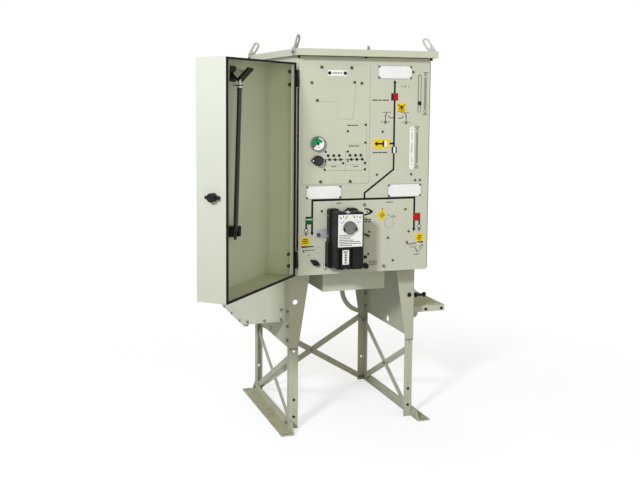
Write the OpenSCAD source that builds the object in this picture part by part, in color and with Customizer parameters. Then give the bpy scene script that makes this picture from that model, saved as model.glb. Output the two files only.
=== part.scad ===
// Ring main unit on a steel stand, with its deep front door swung open.
// Millimetres, +Z up. The front faces -Y. The origin lies on the ground, at the centre of the
// four anchor slots of the base angles.

/* [Base angles] */
// Length of a base angle behind the side frames
base_rear = 19; // [15:1:40]
// Width of the flat flange of a base angle
base_flange_w = 58; // [50:1:80]
// Height of the upright flange of a base angle
base_flange_h = 45; // [36:1:60]
// Thickness of a base angle
base_t = 5; // [4:0.5:8]
// Length cut back at the corners of the upright flange
base_corner = 30; // [10:1:40]
// Width of an anchor slot
slot_w = 14; // [10:1:18]
// Length of an anchor slot, across the base angle
slot_len = 26; // [20:1:32]
// Distance from the end of a base angle to the centre of its slot
slot_end = 19; // [15:1:40]

/* [Side frames] */
// Depth of a side frame over its flanges
frame_depth = 587; // [540:1:620]
// Distance from the front end of the base angles to the side frames
frame_setback = 72; // [50:1:80]
// Sheet thickness of a side frame
frame_t = 3; // [2:0.5:4]
// Outside bend radius of a side frame
frame_bend = 5; // [4.5:0.5:8]
// Height of the lower edge of a side frame above the ground
frame_bottom = 362; // [340:1:380]
// Width of a side frame's flanges at the top
flange_top_w = 93; // [70:1:110]
// Width of a side frame's flanges at the bottom
flange_bottom_w = 40; // [36:1:60]
// Width of the inward fold under the cabinet floor
frame_fold_w = 34; // [20:1:60]
// Diameter of the hole in the front flange
flange_hole_d = 22; // [10:1:26]
// Distance of that hole from the outer face of the side frame
flange_hole_in = 25; // [20:1:30]
// Height of that hole above the ground
flange_hole_z = 567; // [540:1:600]
// Diameter of the round hole in the side plate
plate_hole_d = 30; // [16:1:34]
// Height of the round hole in the side plate
plate_hole_z = 388; // [384:1:420]

/* [Legs] */
// Flange width of a leg angle
leg_w = 38; // [34:1:40]
// Thickness of a leg angle
leg_t = 4; // [3:0.5:5]
// Height of the end of a leg above the ground
leg_foot = 3; // [1:0.5:6]
// Height of the top of a leg inside its side frame
leg_top = 540; // [480:1:552]
// Diameter of the holes in the legs
leg_hole_d = 11; // [8:0.5:13]
// Height of the upper hole in a front leg
leg_hole_high = 348; // [338:1:352]
// Height of the middle hole in a front leg
leg_hole_mid = 132; // [110:1:150]
// Height of the lower hole in a front leg
leg_hole_low = 56; // [52:1:70]
// Height of the hole in a rear leg
rear_hole_z = 125; // [100:1:150]

/* [Braces] */
// Width of a brace bar
brace_w = 28; // [20:1:30]
// Thickness of a brace bar
brace_t = 4; // [3:0.5:5]
// Length of a brace bar beyond its bolt
brace_end = 9; // [8:0.5:12]
// Distance of a side brace bolt from the heel of the leg
side_brace_in = 22; // [20:0.5:24]
// Distance of a rear brace bolt from the heel of the leg
rear_brace_in = 31; // [30:0.5:33]
// Height of the lower brace bolts
brace_low = 26; // [22:1:36]
// Height of the upper bolts of the side braces
side_brace_high = 318; // [290:1:330]
// Height of the upper bolts of the rear braces
rear_brace_high = 338; // [300:1:345]
// Diameter of the packing discs under the inner brace bars
packing_d = 18; // [14:1:20]

/* [Cabinet] */
// Width of the front panel, the cabinet and the stand
panel_w = 590; // [560:1:620]
// Height of the front panel
panel_h = 913; // [880:1:950]
// Height of the cabinet floor above the ground
floor_z = 706; // [680:1:730]
// Distance of the front panel ahead of the side frames
panel_lead = 117; // [100:1:135]
// Overhang of the cabinet behind the side frames
cabinet_over = 30; // [28:1:60]
// Sheet thickness of the front panel
panel_t = 2.5; // [2:0.5:4]
// Depth of the folded edge of the front panel
panel_fold = 24; // [15:1:40]
// Seam between the front panel and the cabinet
panel_seam = 1; // [0.5:0.5:2]
// Half width of the box under the floor
under_half_w = 145; // [120:1:160]
// Height of the box under the floor
under_h = 100; // [70:1:130]
// Depth of the box under the floor
under_depth = 300; // [200:1:400]

/* [Roof] */
// Overhang of the roof at each side
roof_side = 18.5; // [15:0.5:30]
// Overhang of the roof at the front
roof_front = 39; // [25:1:60]
// Overhang of the roof at the rear
roof_rear = 18; // [10:1:40]
// Height of the roof's folded edge
roof_h = 28; // [26:1:45]
// Sheet thickness of the roof
roof_t = 2.5; // [2:0.5:4]
// Space between the front panel and the roof's lower edge
roof_gap = 2; // [1:0.5:5]

/* [Lifting lugs] */
// Plate thickness of a lifting lug
lug_t = 6; // [5:0.5:8]
// Width of a lifting lug
lug_w = 30; // [28:1:36]
// Length of the twisted part of a lifting lug
lug_len = 70; // [62:1:80]
// Lean of the twisted part toward the middle of the roof
lug_lean = 35; // [25:1:40]
// Turn of the twisted part from the roof's edge toward its middle
lug_turn = 41; // [30:1:50]
// Width of the lifting eye
lug_eye_w = 16; // [14:1:18]
// Length of the lifting eye
lug_eye_len = 42; // [36:1:46]
// Height of the lower end of a lifting lug above the roof's lower edge
lug_low = 2; // [1:0.5:4]
// Height of the twist of a lifting lug above the roof
lug_rise = 6; // [5:0.5:10]
// Space between the twisted part and the top of the roof
lug_clear = 1; // [0.5:0.5:2]
// Distance of the front lugs from the front edge of the roof
lug_front = 52; // [40:1:80]
// Distance of the rear lugs from the rear edge of the roof
lug_rear = 30; // [26:1:60]

/* [Cable entries] */
// Reach of a gland plate beyond the side frame
gland_reach = 190; // [160:1:210]
// Front to rear length of a gland plate
gland_len = 386; // [340:1:400]
// Distance of a gland plate behind the front of the side frame
gland_setback = 75; // [70:1:90]
// Height of the top of a gland plate
gland_z = 493; // [485:1:500]
// Height of the folded edges of a gland plate
gland_fold_h = 28; // [20:1:32]
// Sheet thickness of a gland plate
gland_t = 3; // [2:0.5:4]
// Distance of the inner hole of the front fold from the side frame
gland_hole_in = 94; // [60:1:120]
// Diameter of the bolt holes in the front fold
gland_hole_d = 8; // [6:0.5:10]
// Height of those holes below the top of the gland plate
gland_hole_drop = 16; // [12:0.5:18]
// Sheet thickness of the cable box cover
cover_t = 2.5; // [2:0.5:4]
// Height of the cable box cover above the gland plate
cable_box_h = 520; // [400:1:560]
// Depth of the cover's skirt below the gland plate's top
skirt_h = 27; // [20:1:28]
// Diameter of the gland stub
stub_d = 64; // [50:1:80]
// Length of the gland stub below its plate
stub_len = 62; // [45:1:80]
// Diameter of the collar of the gland stub
stub_collar_d = 76; // [70:1:90]
// Thickness of the collar of the gland stub
stub_collar_h = 9; // [5:1:14]
// Distance of the gland stub from the side frame
stub_out = 57; // [52:1:80]
// Distance of the gland stub behind the front of its plate
stub_back = 82; // [60:1:120]
// Diameter of the drain plug
plug_d = 22; // [16:1:28]
// Length of the drain plug below its plate
plug_len = 36; // [32:1:44]
// Distance of the drain plug from the outer and front edges of its plate
plug_in = 20; // [16:1:30]
// Diameter of the earth stud
stud_d = 12; // [8:1:16]
// Length of the earth stud
stud_len = 77; // [60:1:90]
// Width across the flats of the earth stud's nuts
stud_nut_w = 20; // [18:1:26]
// Height of the earth stud's nuts
stud_nut_h = 10; // [6:1:12]
// Spacing of the earth stud's inner nuts
stud_nut_space = 26; // [18:1:30]
// Height of the earth stud
stud_z = 553; // [545:1:565]
// Distance of the earth stud behind the front of the side frame
stud_back = 50; // [42:1:60]
// Diameter of the earth boss
boss_d = 36; // [30:1:38]
// Length of the earth boss
boss_len = 40; // [30:1:50]
// Height of the earth boss above the stud
boss_rise = 3; // [0:1:6]
// Distance of the earth boss behind the stud
boss_back = 34; // [33:1:50]

/* [Conduit] */
// Outer diameter of the conduit
conduit_d = 24; // [16:1:28]
// Bend radius of the conduit's centre line
conduit_bend = 120; // [90:1:130]
// Distance of the conduit's drop from the right side of the stand
conduit_margin = 123; // [110:1:140]
// Height of the conduit's level run
conduit_z = 358; // [340:1:380]
// Distance of the conduit behind the side frames
conduit_back = 15; // [14.5:0.5:16]
// Length of the conduit's level run after the bend
conduit_run = 26; // [10:1:40]
// Wall thickness of the conduit
conduit_wall = 2; // [1:0.5:3]

/* [Instrument cover] */
// Distance of the cover from the left edge of the panel
cover_margin = 13; // [10:1:25]
// Right edge of the cover from the middle of the panel
cover_right = 17; // [5:1:25]
// Height of the cover's lower edge above the floor
cover_low = 383; // [370:1:390]
// Height of the cover's upper edge above the floor
cover_high = 879; // [860:1:890]
// Thickness of the cover
cover_plate_t = 2; // [1.5:0.5:3]
// Distance of the gauge and the selector from the left edge of the panel
gauge_margin = 80; // [70:1:90]
// Height of the gauge above the floor
gauge_z = 553; // [545:1:565]
// Diameter of the gauge
gauge_d = 63; // [50:1:68]
// Depth of the gauge in front of the cover
gauge_h = 12; // [8:1:18]
// Width of the gauge's rim
gauge_rim = 3; // [2:0.5:5]
// Depth of the gauge's dial below its rim
gauge_dial = 3; // [1:0.5:5]
// Height of the selector above the floor
selector_z = 483; // [478:1:488]
// Diameter of the selector knob
selector_d = 42; // [36:1:44]
// Length of the selector's pointer from its centre
selector_tip = 30; // [26:1:34]
// Height of the selector knob
selector_h = 20; // [14:1:26]
// Diameter of the selector's spindle
spindle_d = 8; // [6:1:10]
// Diameter of the free holes round the spindles
spindle_hole_d = 14; // [12:1:18]
// Radial running clearance of the spindles
spindle_gap = 0.06; // [0.05:0.01:0.1]
// Space between a turning knob and its plate
knob_gap = 1; // [0.5:0.5:2]
// Diameter of a test socket
socket_d = 11; // [8:0.5:12]
// Height of a test socket
socket_h = 3; // [2:0.5:5]
// Bore of a test socket
socket_bore = 4.5; // [3:0.5:5]
// Spacing of the test sockets in a row
socket_pitch = 24.5; // [20:0.5:27]
// Sideways shift of the lower row of sockets
socket_shift = 6.5; // [4:0.5:8]
// Spacing of the two rows of sockets
socket_drop = 17; // [14:0.5:20]
// Spacing of the two groups of sockets
socket_group = 97.5; // [95:0.5:100]
// Distance of the upper row's first socket from the gauge's centre line
socket_gap = 47; // [42:1:55]
// Height of the upper row above the floor
socket_z = 503; // [498:1:510]

/* [Label plates] */
// Width of a label plate
label_w = 157; // [120:1:160]
// Height of a label plate
label_h = 56; // [40:1:60]
// Thickness of a label plate
label_t = 1.2; // [0.8:0.2:2]
// Distance of the lower label plates from the sides of the panel
label_margin = 32; // [20:1:40]
// Height of the middle of the lower label plates above the floor
label_low_z = 349; // [340:1:352]
// Middle of the upper label plate from the middle of the panel
label_top_x = 131.5; // [110:0.5:150]
// Height of the middle of the upper label plate above the floor
label_top_z = 853; // [840:1:870]

/* [Indicator slider] */
// Distance of the slot from the right edge of the panel
slide_margin = 48; // [40:1:60]
// Width of the slot
slide_w = 12; // [8:0.5:14]
// Height of the slot's lower end above the floor
slide_low = 679; // [660:1:700]
// Height of the slot's upper end above the floor
slide_high = 845; // [820:1:860]
// Height of the slider above the slot's lower end
slide_at = 37; // [20:1:80]
// Height of the slider block
slide_block_h = 15; // [10:1:24]
// Depth of the slider block in front of the panel
slide_block_out = 5; // [3:0.5:8]
// Space between the slider and the slot's sides
slide_gap = 0.4; // [0.3:0.1:0.8]

/* [Actuator] */
// Distance of the actuator from the left edge of the panel
act_margin = 125; // [118:1:130]
// Width of the actuator
act_w = 128; // [122:1:135]
// Height of the actuator's lower end above the floor
act_low = 32; // [28:1:40]
// Height of the actuator
act_h = 249; // [245:1:254]
// Depth of the actuator in front of the panel
act_depth = 111; // [95:1:114]
// Corner radius of the actuator
act_round = 9; // [6:1:12]
// Depth of the actuator's rear base
act_base_depth = 34; // [20:1:50]
// Step between the actuator's rear base and its front
act_step = 5; // [3:0.5:8]
// Width of the notch in the actuator's top
act_notch_w = 50; // [40:1:56]
// Depth of the notch in the actuator's top
act_notch_h = 15; // [10:1:18]
// Width between the lower channels
act_channel_space = 40; // [36:1:48]
// Width of a lower channel
act_channel_w = 11; // [8:1:14]
// Height of the lower channels
act_channel_h = 92; // [88:1:96]
// Depth of the lower channels
act_channel_d = 12; // [6:1:16]
// Height of the hollow in the actuator's lower edge
act_hollow_h = 9; // [6:1:10]
// Width of the ribs' grooves in the actuator's side
act_groove = 4; // [3:0.5:6]
// Spacing of the grooves
act_groove_pitch = 18; // [12:1:24]
// Width of the actuator's white plate
act_plate_w = 107; // [100:1:116]
// Height of the actuator's white plate
act_plate_h = 134; // [126:1:134]
// Height of the white plate's lower edge above the actuator's lower end
act_plate_low = 100; // [98:1:100]
// Thickness of the actuator's plates
act_plate_t = 1.5; // [1:0.5:2]
// Width of the lower white label
act_tag_w = 28; // [24:1:32]
// Height of the lower white label
act_tag_h = 60; // [50:1:66]
// Height of the lower label's lower edge above the actuator's lower end
act_tag_low = 27; // [20:1:30]
// Distance of the lower label left of the middle
act_tag_shift = 19; // [10:1:24]
// Width of the base's foot beyond the actuator's sides
act_foot_out = 6; // [4:1:8]
// Height of the base's foot
act_foot_h = 112; // [90:1:120]
// Distance of the actuator knob's centre from the actuator's left side
act_knob_x = 60; // [56:1:66]
// Height of the actuator knob above the actuator's lower end
act_knob_z = 180; // [174:1:184]
// Diameter of the upper, wider part of the actuator knob
act_knob_d = 56; // [50:1:60]
// Diameter of the lower part of the actuator knob
act_knob_low_d = 42; // [36:1:46]
// Distance of the actuator knob's lower part below its centre
act_knob_drop = 7; // [4:1:10]
// Height of the actuator knob
act_knob_h = 8; // [5:1:10]
// Left reach of the actuator's bracket
bracket_reach = 54; // [40:1:60]
// Height of the actuator's bracket
bracket_h = 38; // [25:1:45]
// Height of the bracket's lower edge above the actuator's lower end
bracket_low = 126; // [118:1:132]
// Thickness of the actuator's bracket
bracket_t = 3; // [2:0.5:4]

/* [Lower knobs] */
// Distance of the wing knob from the left edge of the panel
wing_margin = 72; // [60:1:80]
// Height of the wing knob above the floor
wing_z = 53; // [45:1:60]
// Diameter of the wing knob's hub
wing_hub_d = 24; // [18:1:26]
// Span of the wing knob
wing_span = 42; // [36:1:46]
// Width of the wings
wing_w = 11; // [8:1:14]
// Depth of the wing knob
wing_h = 18; // [12:1:24]
// Height of the wings as a part of the knob's depth
wing_part = 0.7; // [0.5:0.05:0.9]
// Turn of the wing knob
wing_turn = 30; // [0:1:45]
// Distance of the round knob right of the middle of the panel
button_x = 6; // [0:1:10]
// Space between the round knob and the lip of the shut door
button_clear = 5.5; // [5:0.5:12]
// Diameter of the round knob
button_d = 24; // [18:1:28]
// Depth of the round knob
button_h = 14; // [8:1:20]

/* [Door] */
// Opening angle shown
door_open = 131.7; // [0:0.1:160]
// Width of the door beyond that of the panel
door_over = 2; // [0:0.5:6]
// Distance of the door's upper edge below that of the panel
door_top = 28; // [20:1:40]
// Height of the door's lower edge above the floor
door_low = 2; // [0:0.5:6]
// Depth of the door's pan
door_depth = 122; // [119:1:140]
// Sheet thickness of the door
door_t = 2.5; // [1.5:0.5:3]
// Outside fold radius of the door
door_bend = 5; // [4:0.5:8]
// Space between the gasket and the front panel with the door shut
door_gap = 5; // [5:0.5:8]
// Width of the lip round the door's mouth
lip_w = 9; // [8.5:0.5:14]
// Width of the lip at the hinge side
lip_hinge_w = 34; // [30:1:36]
// Width of the gasket
gasket_w = 8; // [6:0.5:8.5]
// Thickness of the gasket
gasket_t = 6; // [4:0.5:8]

/* [Hinges] */
// Distance from the cabinet's side to the hinge axis
hinge_out = 10; // [9:0.5:12]
// Distance from the hinge axis to the door's side wall
hinge_wall = 10; // [9:0.5:12]
// Diameter of a hinge barrel
barrel_d = 12; // [10:0.5:13]
// Diameter of a hinge pin
pin_d = 6; // [5:0.5:7]
// Radial running clearance of a hinge pin
pin_gap = 0.06; // [0.05:0.01:0.1]
// Thickness of the closed top of a hinge's upper barrel
pin_cap = 4; // [3:0.5:6]
// Space above the end of a hinge pin
pin_end = 1; // [0.5:0.5:2]
// Height of a hinge
hinge_h = 70; // [50:1:80]
// Distance from the hinge axis to the inner face of a hinge leaf
leaf_in = 4; // [3:0.5:4.5]
// Space between a hinge leaf and the plane through the hinge axis
leaf_clear = 2; // [1:0.5:3]
// Length of a hinge leaf
leaf_len = 44; // [38:1:50]
// Space between the two barrels of a hinge
barrel_gap = 0.4; // [0.3:0.1:1]
// Height of the lower hinge above the floor
hinge_low = 34; // [30:1:60]
// Height of the upper hinge above the floor
hinge_high = 786; // [760:1:800]

/* [Latch] */
// Distance of the latch from the door's mouth
latch_in = 56; // [50:1:70]
// Height of the latch above the floor
latch_z = 387; // [370:1:410]
// Diameter of the latch knob's hub
latch_hub_d = 33; // [28:1:38]
// Span of the latch knob's wings
latch_span = 58; // [50:1:66]
// Width of the latch knob's wings
latch_wing_w = 13; // [10:1:16]
// Depth of the latch knob
latch_h = 22; // [16:1:26]

/* [Operating handle] */
// Diameter of the handle's rod
rod_d = 18; // [16:1:20]
// Length of the handle's rod
rod_len = 546; // [500:1:560]
// Lean of the rod toward the hinge side at its top
rod_lean = 3.5; // [0:0.5:4]
// Distance of the rod's lower end from the hinge axis
rod_u = 364; // [350:1:380]
// Height of the rod's lower end above the floor
rod_low = 233; // [225:1:250]
// Distance of the rod from the door's outer sheet
rod_stand = 32; // [30:1:36]
// Diameter of the rod's tip
tip_d = 12; // [10:1:14]
// Length of the rod's tip
tip_len = 34; // [30:1:40]
// Diameter of the handle's collar
collar_d = 20; // [20:1:24]
// Height of the handle's collar
collar_h = 10; // [6:1:14]
// Side of the handle's square socket head
head_w = 26; // [22:1:30]
// Length of the socket head
head_len = 40; // [36:1:48]
// Bore of the socket head
head_bore = 16; // [12:1:18]
// Height of the head's middle above the rod
head_rise = 54; // [50:1:60]
// Width of a handle clip
clip_w = 58; // [50:1:66]
// Height of the lower handle clip
clip_h = 40; // [30:1:46]
// Space between the handle and its clips
clip_gap = 0.3; // [0.2:0.1:0.5]
// Thickness of the upper clip's prongs
prong_t = 8; // [6:1:9]
// Length of the upper clip's prongs
prong_len = 60; // [50:1:66]
// Width of the upper clip's prongs
prong_w = 42; // [36:1:50]
// Thickness of the upper clip's foot plate
clip_foot_t = 3; // [2:0.5:4]

/* [Hidden] */
$fn = 48;
eps = 0.01;
through = 4;
base_len = frame_setback + frame_depth + base_rear;
base_front = -base_len / 2;
frame_x = panel_w / 2;
frame_front = base_front + frame_setback;
frame_rear = frame_front + frame_depth;
leg_x = frame_x - frame_t;
conduit_x = frame_x - conduit_margin;
slot_x = leg_x + base_t + (base_flange_w - base_t) / 2;
slot_y = base_len / 2 - slot_end;
panel_front = frame_front - panel_lead;
panel_x = panel_w / 2;
cover_left = panel_x - cover_margin;
gauge_x = panel_x - gauge_margin;
socket_x = gauge_x - socket_gap;
label_x = panel_x - label_margin - label_w / 2;
slide_x = panel_x - slide_margin;
wing_x = panel_x - wing_margin;
panel_top = floor_z + panel_h;
roof_low = panel_top + roof_gap;
roof_top = roof_low + roof_h;
body_top = roof_top - roof_t;
cabinet_rear = frame_rear + cabinet_over;
roof_x = panel_x + roof_side;
roof_y0 = panel_front - roof_front;
roof_y1 = cabinet_rear + roof_rear;
gland_y0 = frame_front + gland_setback;
gland_y1 = gland_y0 + gland_len;
gland_x = frame_x + gland_reach;
cover_face = panel_front - cover_plate_t;
act_front = panel_front - act_depth;
act_x0 = act_margin - panel_x;
act_groove_y = panel_front - act_base_depth - act_groove - act_step;
act_x1 = act_x0 + act_w;
act_mid = (act_x0 + act_x1) / 2;
act_tag_x = act_mid - act_tag_shift;
act_z0 = floor_z + act_low;
act_z1 = act_z0 + act_h;
axis_x = -panel_x - hinge_out;
axis_y = panel_front - door_gap;
door_z0 = floor_z + door_low;
door_w = panel_w + door_over;
door_h = panel_h - door_top - door_low;
door_u1 = hinge_wall + door_w;
door_v0 = gasket_t;
door_v1 = gasket_t + door_depth;
rod_v = door_v1 - door_t - rod_stand;
rod_z = floor_z + rod_low;
button_z = door_z0 + lip_w + button_clear + button_d / 2;

// A block between two corners.
module block(lo, hi) {
    translate(lo)
        cube(hi - lo);
}

// A flat outline drawn in X and Z, with its face at y and its thickness going back.
module standing(y, thick) {
    translate([0, y + thick, 0])
        rotate([90, 0, 0])
            linear_extrude(height = thick)
                children();
}

// A rectangle with round corners.
module round_rect(lo, hi, r) {
    translate([lo[0] + r, lo[1]])
        square([hi[0] - lo[0] - 2 * r, hi[1] - lo[1]]);
    translate([lo[0], lo[1] + r])
        square([hi[0] - lo[0], hi[1] - lo[1] - 2 * r]);
    for (x = [lo[0] + r, hi[0] - r])
        for (y = [lo[1] + r, hi[1] - r])
            translate([x, y])
                circle(r);
}

// A slot with round ends between two points on one line.
module slot_x(len, w) {
    translate([-(len - w) / 2, -w / 2])
        square([len - w, w]);
    for (s = [-1, 1])
        translate([s * (len - w) / 2, 0])
            circle(w / 2);
}

// Base angle of the left side: flat flange outward, upright flange against the legs.
module base_angle() {
    difference() {
        union() {
            block([-leg_x - base_flange_w, base_front, 0], [-leg_x, -base_front, base_t]);
            translate([-leg_x - base_t, 0, 0])
                rotate([90, 0, 90])
                    linear_extrude(height = base_t)
                        polygon([[base_front, 0], [-base_front, 0], [-base_front, base_t],
                            [-base_front - base_corner, base_flange_h],
                            [base_front + base_corner, base_flange_h], [base_front, base_t]]);
        }
        for (s = [-1, 1])
            translate([-slot_x, s * slot_y, -eps])
                linear_extrude(height = base_t + 2 * eps)
                    slot_x(slot_len, slot_w);
    }
}

module left_base_angle() {
    color([0.72, 0.73, 0.65])
        base_angle();
}

module right_base_angle() {
    color([0.72, 0.73, 0.65])
        mirror([1, 0, 0])
            base_angle();
}

// Flat outline of the folded side frame: a web with a flange at each end.
module channel() {
    r = frame_bend;
    translate([-frame_x, frame_front])
        difference() {
            union() {
                translate([0, r])
                    square([frame_t, frame_depth - 2 * r]);
                translate([r, 0])
                    square([flange_top_w - r, frame_t]);
                translate([r, frame_depth - frame_t])
                    square([flange_top_w - r, frame_t]);
                for (y = [r, frame_depth - r])
                    translate([r, y])
                        circle(r);
            }
            for (y = [r, frame_depth - r])
                translate([r, y])
                    circle(r - frame_t);
            translate([frame_t, r])
                square([2 * r, frame_depth - 2 * r]);
            translate([r, frame_t])
                square([r, frame_depth - 2 * frame_t]);
        }
}

// Side frame of the left side: the flanges taper toward the legs.
module side_frame() {
    difference() {
        union() {
            translate([0, 0, frame_bottom])
                linear_extrude(height = floor_z - frame_bottom)
                    channel();
            block([-frame_x + frame_t / 2, frame_front + frame_bend, floor_z - frame_t],
                [-frame_x + frame_fold_w, frame_rear - frame_bend, floor_z]);
        }
        standing(frame_front - through, frame_depth + 2 * through)
            polygon([[-frame_x + flange_bottom_w, frame_bottom - eps],
                [-frame_x + flange_top_w, floor_z], [-frame_x + 2 * flange_top_w, floor_z],
                [-frame_x + 2 * flange_top_w, frame_bottom - eps]]);
        standing(frame_front - through, frame_bend + 2 * through)
            translate([-frame_x + flange_hole_in, flange_hole_z])
                circle(flange_hole_d / 2);
        translate([-frame_x - through, (frame_front + frame_rear) / 2, plate_hole_z])
            rotate([0, 90, 0])
                cylinder(h = frame_t + 2 * through, d = plate_hole_d);
    }
}

module left_side_frame() {
    color([0.76, 0.77, 0.69])
        side_frame();
}

module right_side_frame() {
    color([0.76, 0.77, 0.69])
        mirror([1, 0, 0])
            side_frame();
}

// Angle leg with its heel at the origin, flanges along +X and +Y, heel rounded to the frame's bend.
module leg(holes) {
    r = frame_bend - frame_t;
    difference() {
        translate([0, 0, leg_foot])
            linear_extrude(height = leg_top - leg_foot)
                union() {
                    translate([r, 0])
                        square([leg_w - r, leg_t]);
                    translate([0, r])
                        square([leg_t, leg_w - r]);
                    translate([r, r])
                        circle(r);
                }
        for (z = holes)
            translate([leg_w / 2, -through, z])
                rotate([-90, 0, 0])
                    cylinder(h = leg_t + 2 * through, d = leg_hole_d);
    }
}

module front_leg() {
    translate([-leg_x, frame_front + frame_t, 0])
        leg([leg_hole_low, leg_hole_mid, leg_hole_high]);
}

module rear_leg() {
    translate([-leg_x, frame_rear - frame_t, 0])
        mirror([0, 1, 0])
            leg([rear_hole_z]);
}

module front_left_leg() {
    color([0.7, 0.71, 0.63])
        front_leg();
}

module front_right_leg() {
    color([0.7, 0.71, 0.63])
        mirror([1, 0, 0])
            front_leg();
}

module rear_left_leg() {
    color([0.7, 0.71, 0.63])
        rear_leg();
}

module rear_right_leg() {
    color([0.7, 0.71, 0.63])
        mirror([1, 0, 0])
            rear_leg();
}

// Brace bar in a Y and Z plane at x, from bolt to bolt.
module bar(x, from, to) {
    run = to - from;
    len = norm(run);
    translate([x, from[0], from[1]])
        rotate([atan2(run[1], run[0]), 0, 0])
            block([0, -brace_end, -brace_w / 2], [brace_t, len + brace_end, brace_w / 2]);
}

// Packing disc between a leg and an inner brace bar.
module packing(x, at) {
    translate([x, at[0], at[1]])
        rotate([0, 90, 0])
            cylinder(h = brace_t, d = packing_d);
}

side_front_y = frame_front + frame_t + side_brace_in;
side_rear_y = frame_rear - frame_t - side_brace_in;
brace_x = -leg_x + leg_t;

module side_outer_brace() {
    bar(brace_x, [side_front_y, brace_low], [side_rear_y, side_brace_high]);
}

module side_inner_brace() {
    from = [side_front_y, side_brace_high];
    to = [side_rear_y, brace_low];
    bar(brace_x + brace_t, from, to);
    packing(brace_x, from);
    packing(brace_x, to);
}

module left_outer_brace() {
    color([0.66, 0.67, 0.58])
        mirror([0, 1, 0])
            translate([0, -frame_front - frame_rear, 0])
                side_outer_brace();
}

module left_inner_brace() {
    color([0.66, 0.67, 0.58])
        mirror([0, 1, 0])
            translate([0, -frame_front - frame_rear, 0])
                side_inner_brace();
}

module right_outer_brace() {
    color([0.66, 0.67, 0.58])
        mirror([1, 0, 0])
            left_outer_brace();
}

module right_inner_brace() {
    color([0.66, 0.67, 0.58])
        mirror([1, 0, 0])
            left_inner_brace();
}

// Turns the Y and Z plane of a bar so that it crosses behind the cabinet, facing forward.
module across_rear() {
    translate([0, frame_rear - frame_t - leg_t, 0])
        rotate([0, 0, -90])
            children();
}

rear_bolt_x = leg_x - rear_brace_in;

module rear_outer_brace() {
    color([0.66, 0.67, 0.58])
        across_rear()
            bar(0, [-rear_bolt_x, brace_low], [rear_bolt_x, rear_brace_high]);
}

module rear_inner_brace() {
    from = [-rear_bolt_x, rear_brace_high];
    to = [rear_bolt_x, brace_low];
    color([0.66, 0.67, 0.58])
        across_rear() {
            bar(brace_t, from, to);
            packing(0, from);
            packing(0, to);
        }
}

// Closed body of the cabinet, stepped in at the front to take the panel's folded edges.
module cabinet_body() {
    step = panel_t + panel_seam;
    color([0.78, 0.79, 0.71]) {
        block([-panel_x, panel_front + panel_fold + panel_seam, floor_z],
            [panel_x, cabinet_rear, body_top]);
        block([-panel_x + step, panel_front + panel_t, floor_z + step],
            [panel_x - step, panel_front + panel_fold + through, panel_top - step]);
    }
}

// Front panel folded back on all four sides, with the slot of the indicator slider.
module front_panel() {
    color([0.79, 0.8, 0.72])
        difference() {
            block([-panel_x, panel_front, floor_z], [panel_x, panel_front + panel_fold, panel_top]);
            block([-panel_x + panel_t, panel_front + panel_t, floor_z + panel_t],
                [panel_x - panel_t, panel_front + panel_fold + through, panel_top - panel_t]);
            standing(panel_front - through, panel_t + 2 * through)
                translate([slide_x, floor_z + (slide_low + slide_high) / 2])
                    rotate(90)
                        slot_x(slide_high - slide_low, slide_w);
            standing(panel_front - through, panel_t + 2 * through)
                translate([-gauge_x, floor_z + selector_z])
                    circle(spindle_hole_d / 2);
        }
}

module under_box() {
    color([0.76, 0.77, 0.69])
        block([-under_half_w, frame_front - frame_t, floor_z - under_h],
            [under_half_w, frame_front - frame_t + under_depth, floor_z]);
}

// Roof lid folded down on all four sides over the top of the body.
module roof() {
    color([0.8, 0.81, 0.74])
        difference() {
            block([-roof_x, roof_y0, roof_low], [roof_x, roof_y1, roof_top]);
            block([-roof_x + roof_t, roof_y0 + roof_t, roof_low - eps],
                [roof_x - roof_t, roof_y1 - roof_t, body_top]);
        }
}

// Front left lifting lug: foot on the roof's edge, eye twisted and leaning toward the roof's middle.
module lug() {
    foot_h = roof_h - lug_low + lug_rise;
    inward = lug_w / 2 * sin(lug_turn) - lug_t / 2;
    block([-lug_t, -lug_w / 2, 0], [0, lug_w / 2, foot_h]);
    intersection() {
        translate([-lug_t / 2 + inward, 0, foot_h - lug_rise])
            rotate([0, 0, 90 - lug_turn])
                standing(-lug_t / 2, lug_t)
                    rotate(-lug_lean)
                        lug_outline();
        block([-lug_len, -lug_len, foot_h - lug_rise + lug_clear], [lug_len, lug_len, 2 * lug_len]);
    }
}

// Flat outline of the twisted part: a long link with round ends and a long eye.
module lug_outline() {
    rim = (lug_w - lug_eye_w) / 2;
    difference() {
        translate([0, lug_len / 2 - lug_w / 4])
            rotate(90)
                slot_x(lug_len + lug_w / 2, lug_w);
        translate([0, lug_len - rim - lug_eye_len / 2])
            rotate(90)
                slot_x(lug_eye_len, lug_eye_w);
    }
}

module lifting_lugs() {
    foot_z = roof_low + lug_low;
    color([0.74, 0.75, 0.72])
        for (side = [0, 1])
            mirror([side, 0, 0]) {
                translate([-roof_x, roof_y0 + lug_front, foot_z])
                    lug();
                translate([-roof_x, roof_y1 - lug_rear, foot_z])
                    mirror([0, 1, 0])
                        lug();
            }
}

// Gland plate of the right side: folded down on its outer, front and rear edges.
module gland_plate() {
    fold = gland_z - gland_fold_h;
    difference() {
        union() {
            block([frame_x, gland_y0, gland_z - gland_t], [gland_x, gland_y1, gland_z]);
            block([gland_x - gland_t, gland_y0, fold], [gland_x, gland_y1, gland_z]);
            block([frame_x, gland_y0 + gland_t, fold], [frame_x + gland_t, gland_y1 - gland_t, gland_z]);
            for (y = [gland_y0, gland_y1 - gland_t])
                block([frame_x, y, fold], [gland_x, y + gland_t, gland_z]);
        }
        for (x = [frame_x + gland_hole_in, gland_x - gland_hole_drop])
            translate([x, gland_y0 - through, gland_z - gland_hole_drop])
                rotate([-90, 0, 0])
                    cylinder(h = gland_t + 2 * through, d = gland_hole_d);
    }
}

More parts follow.
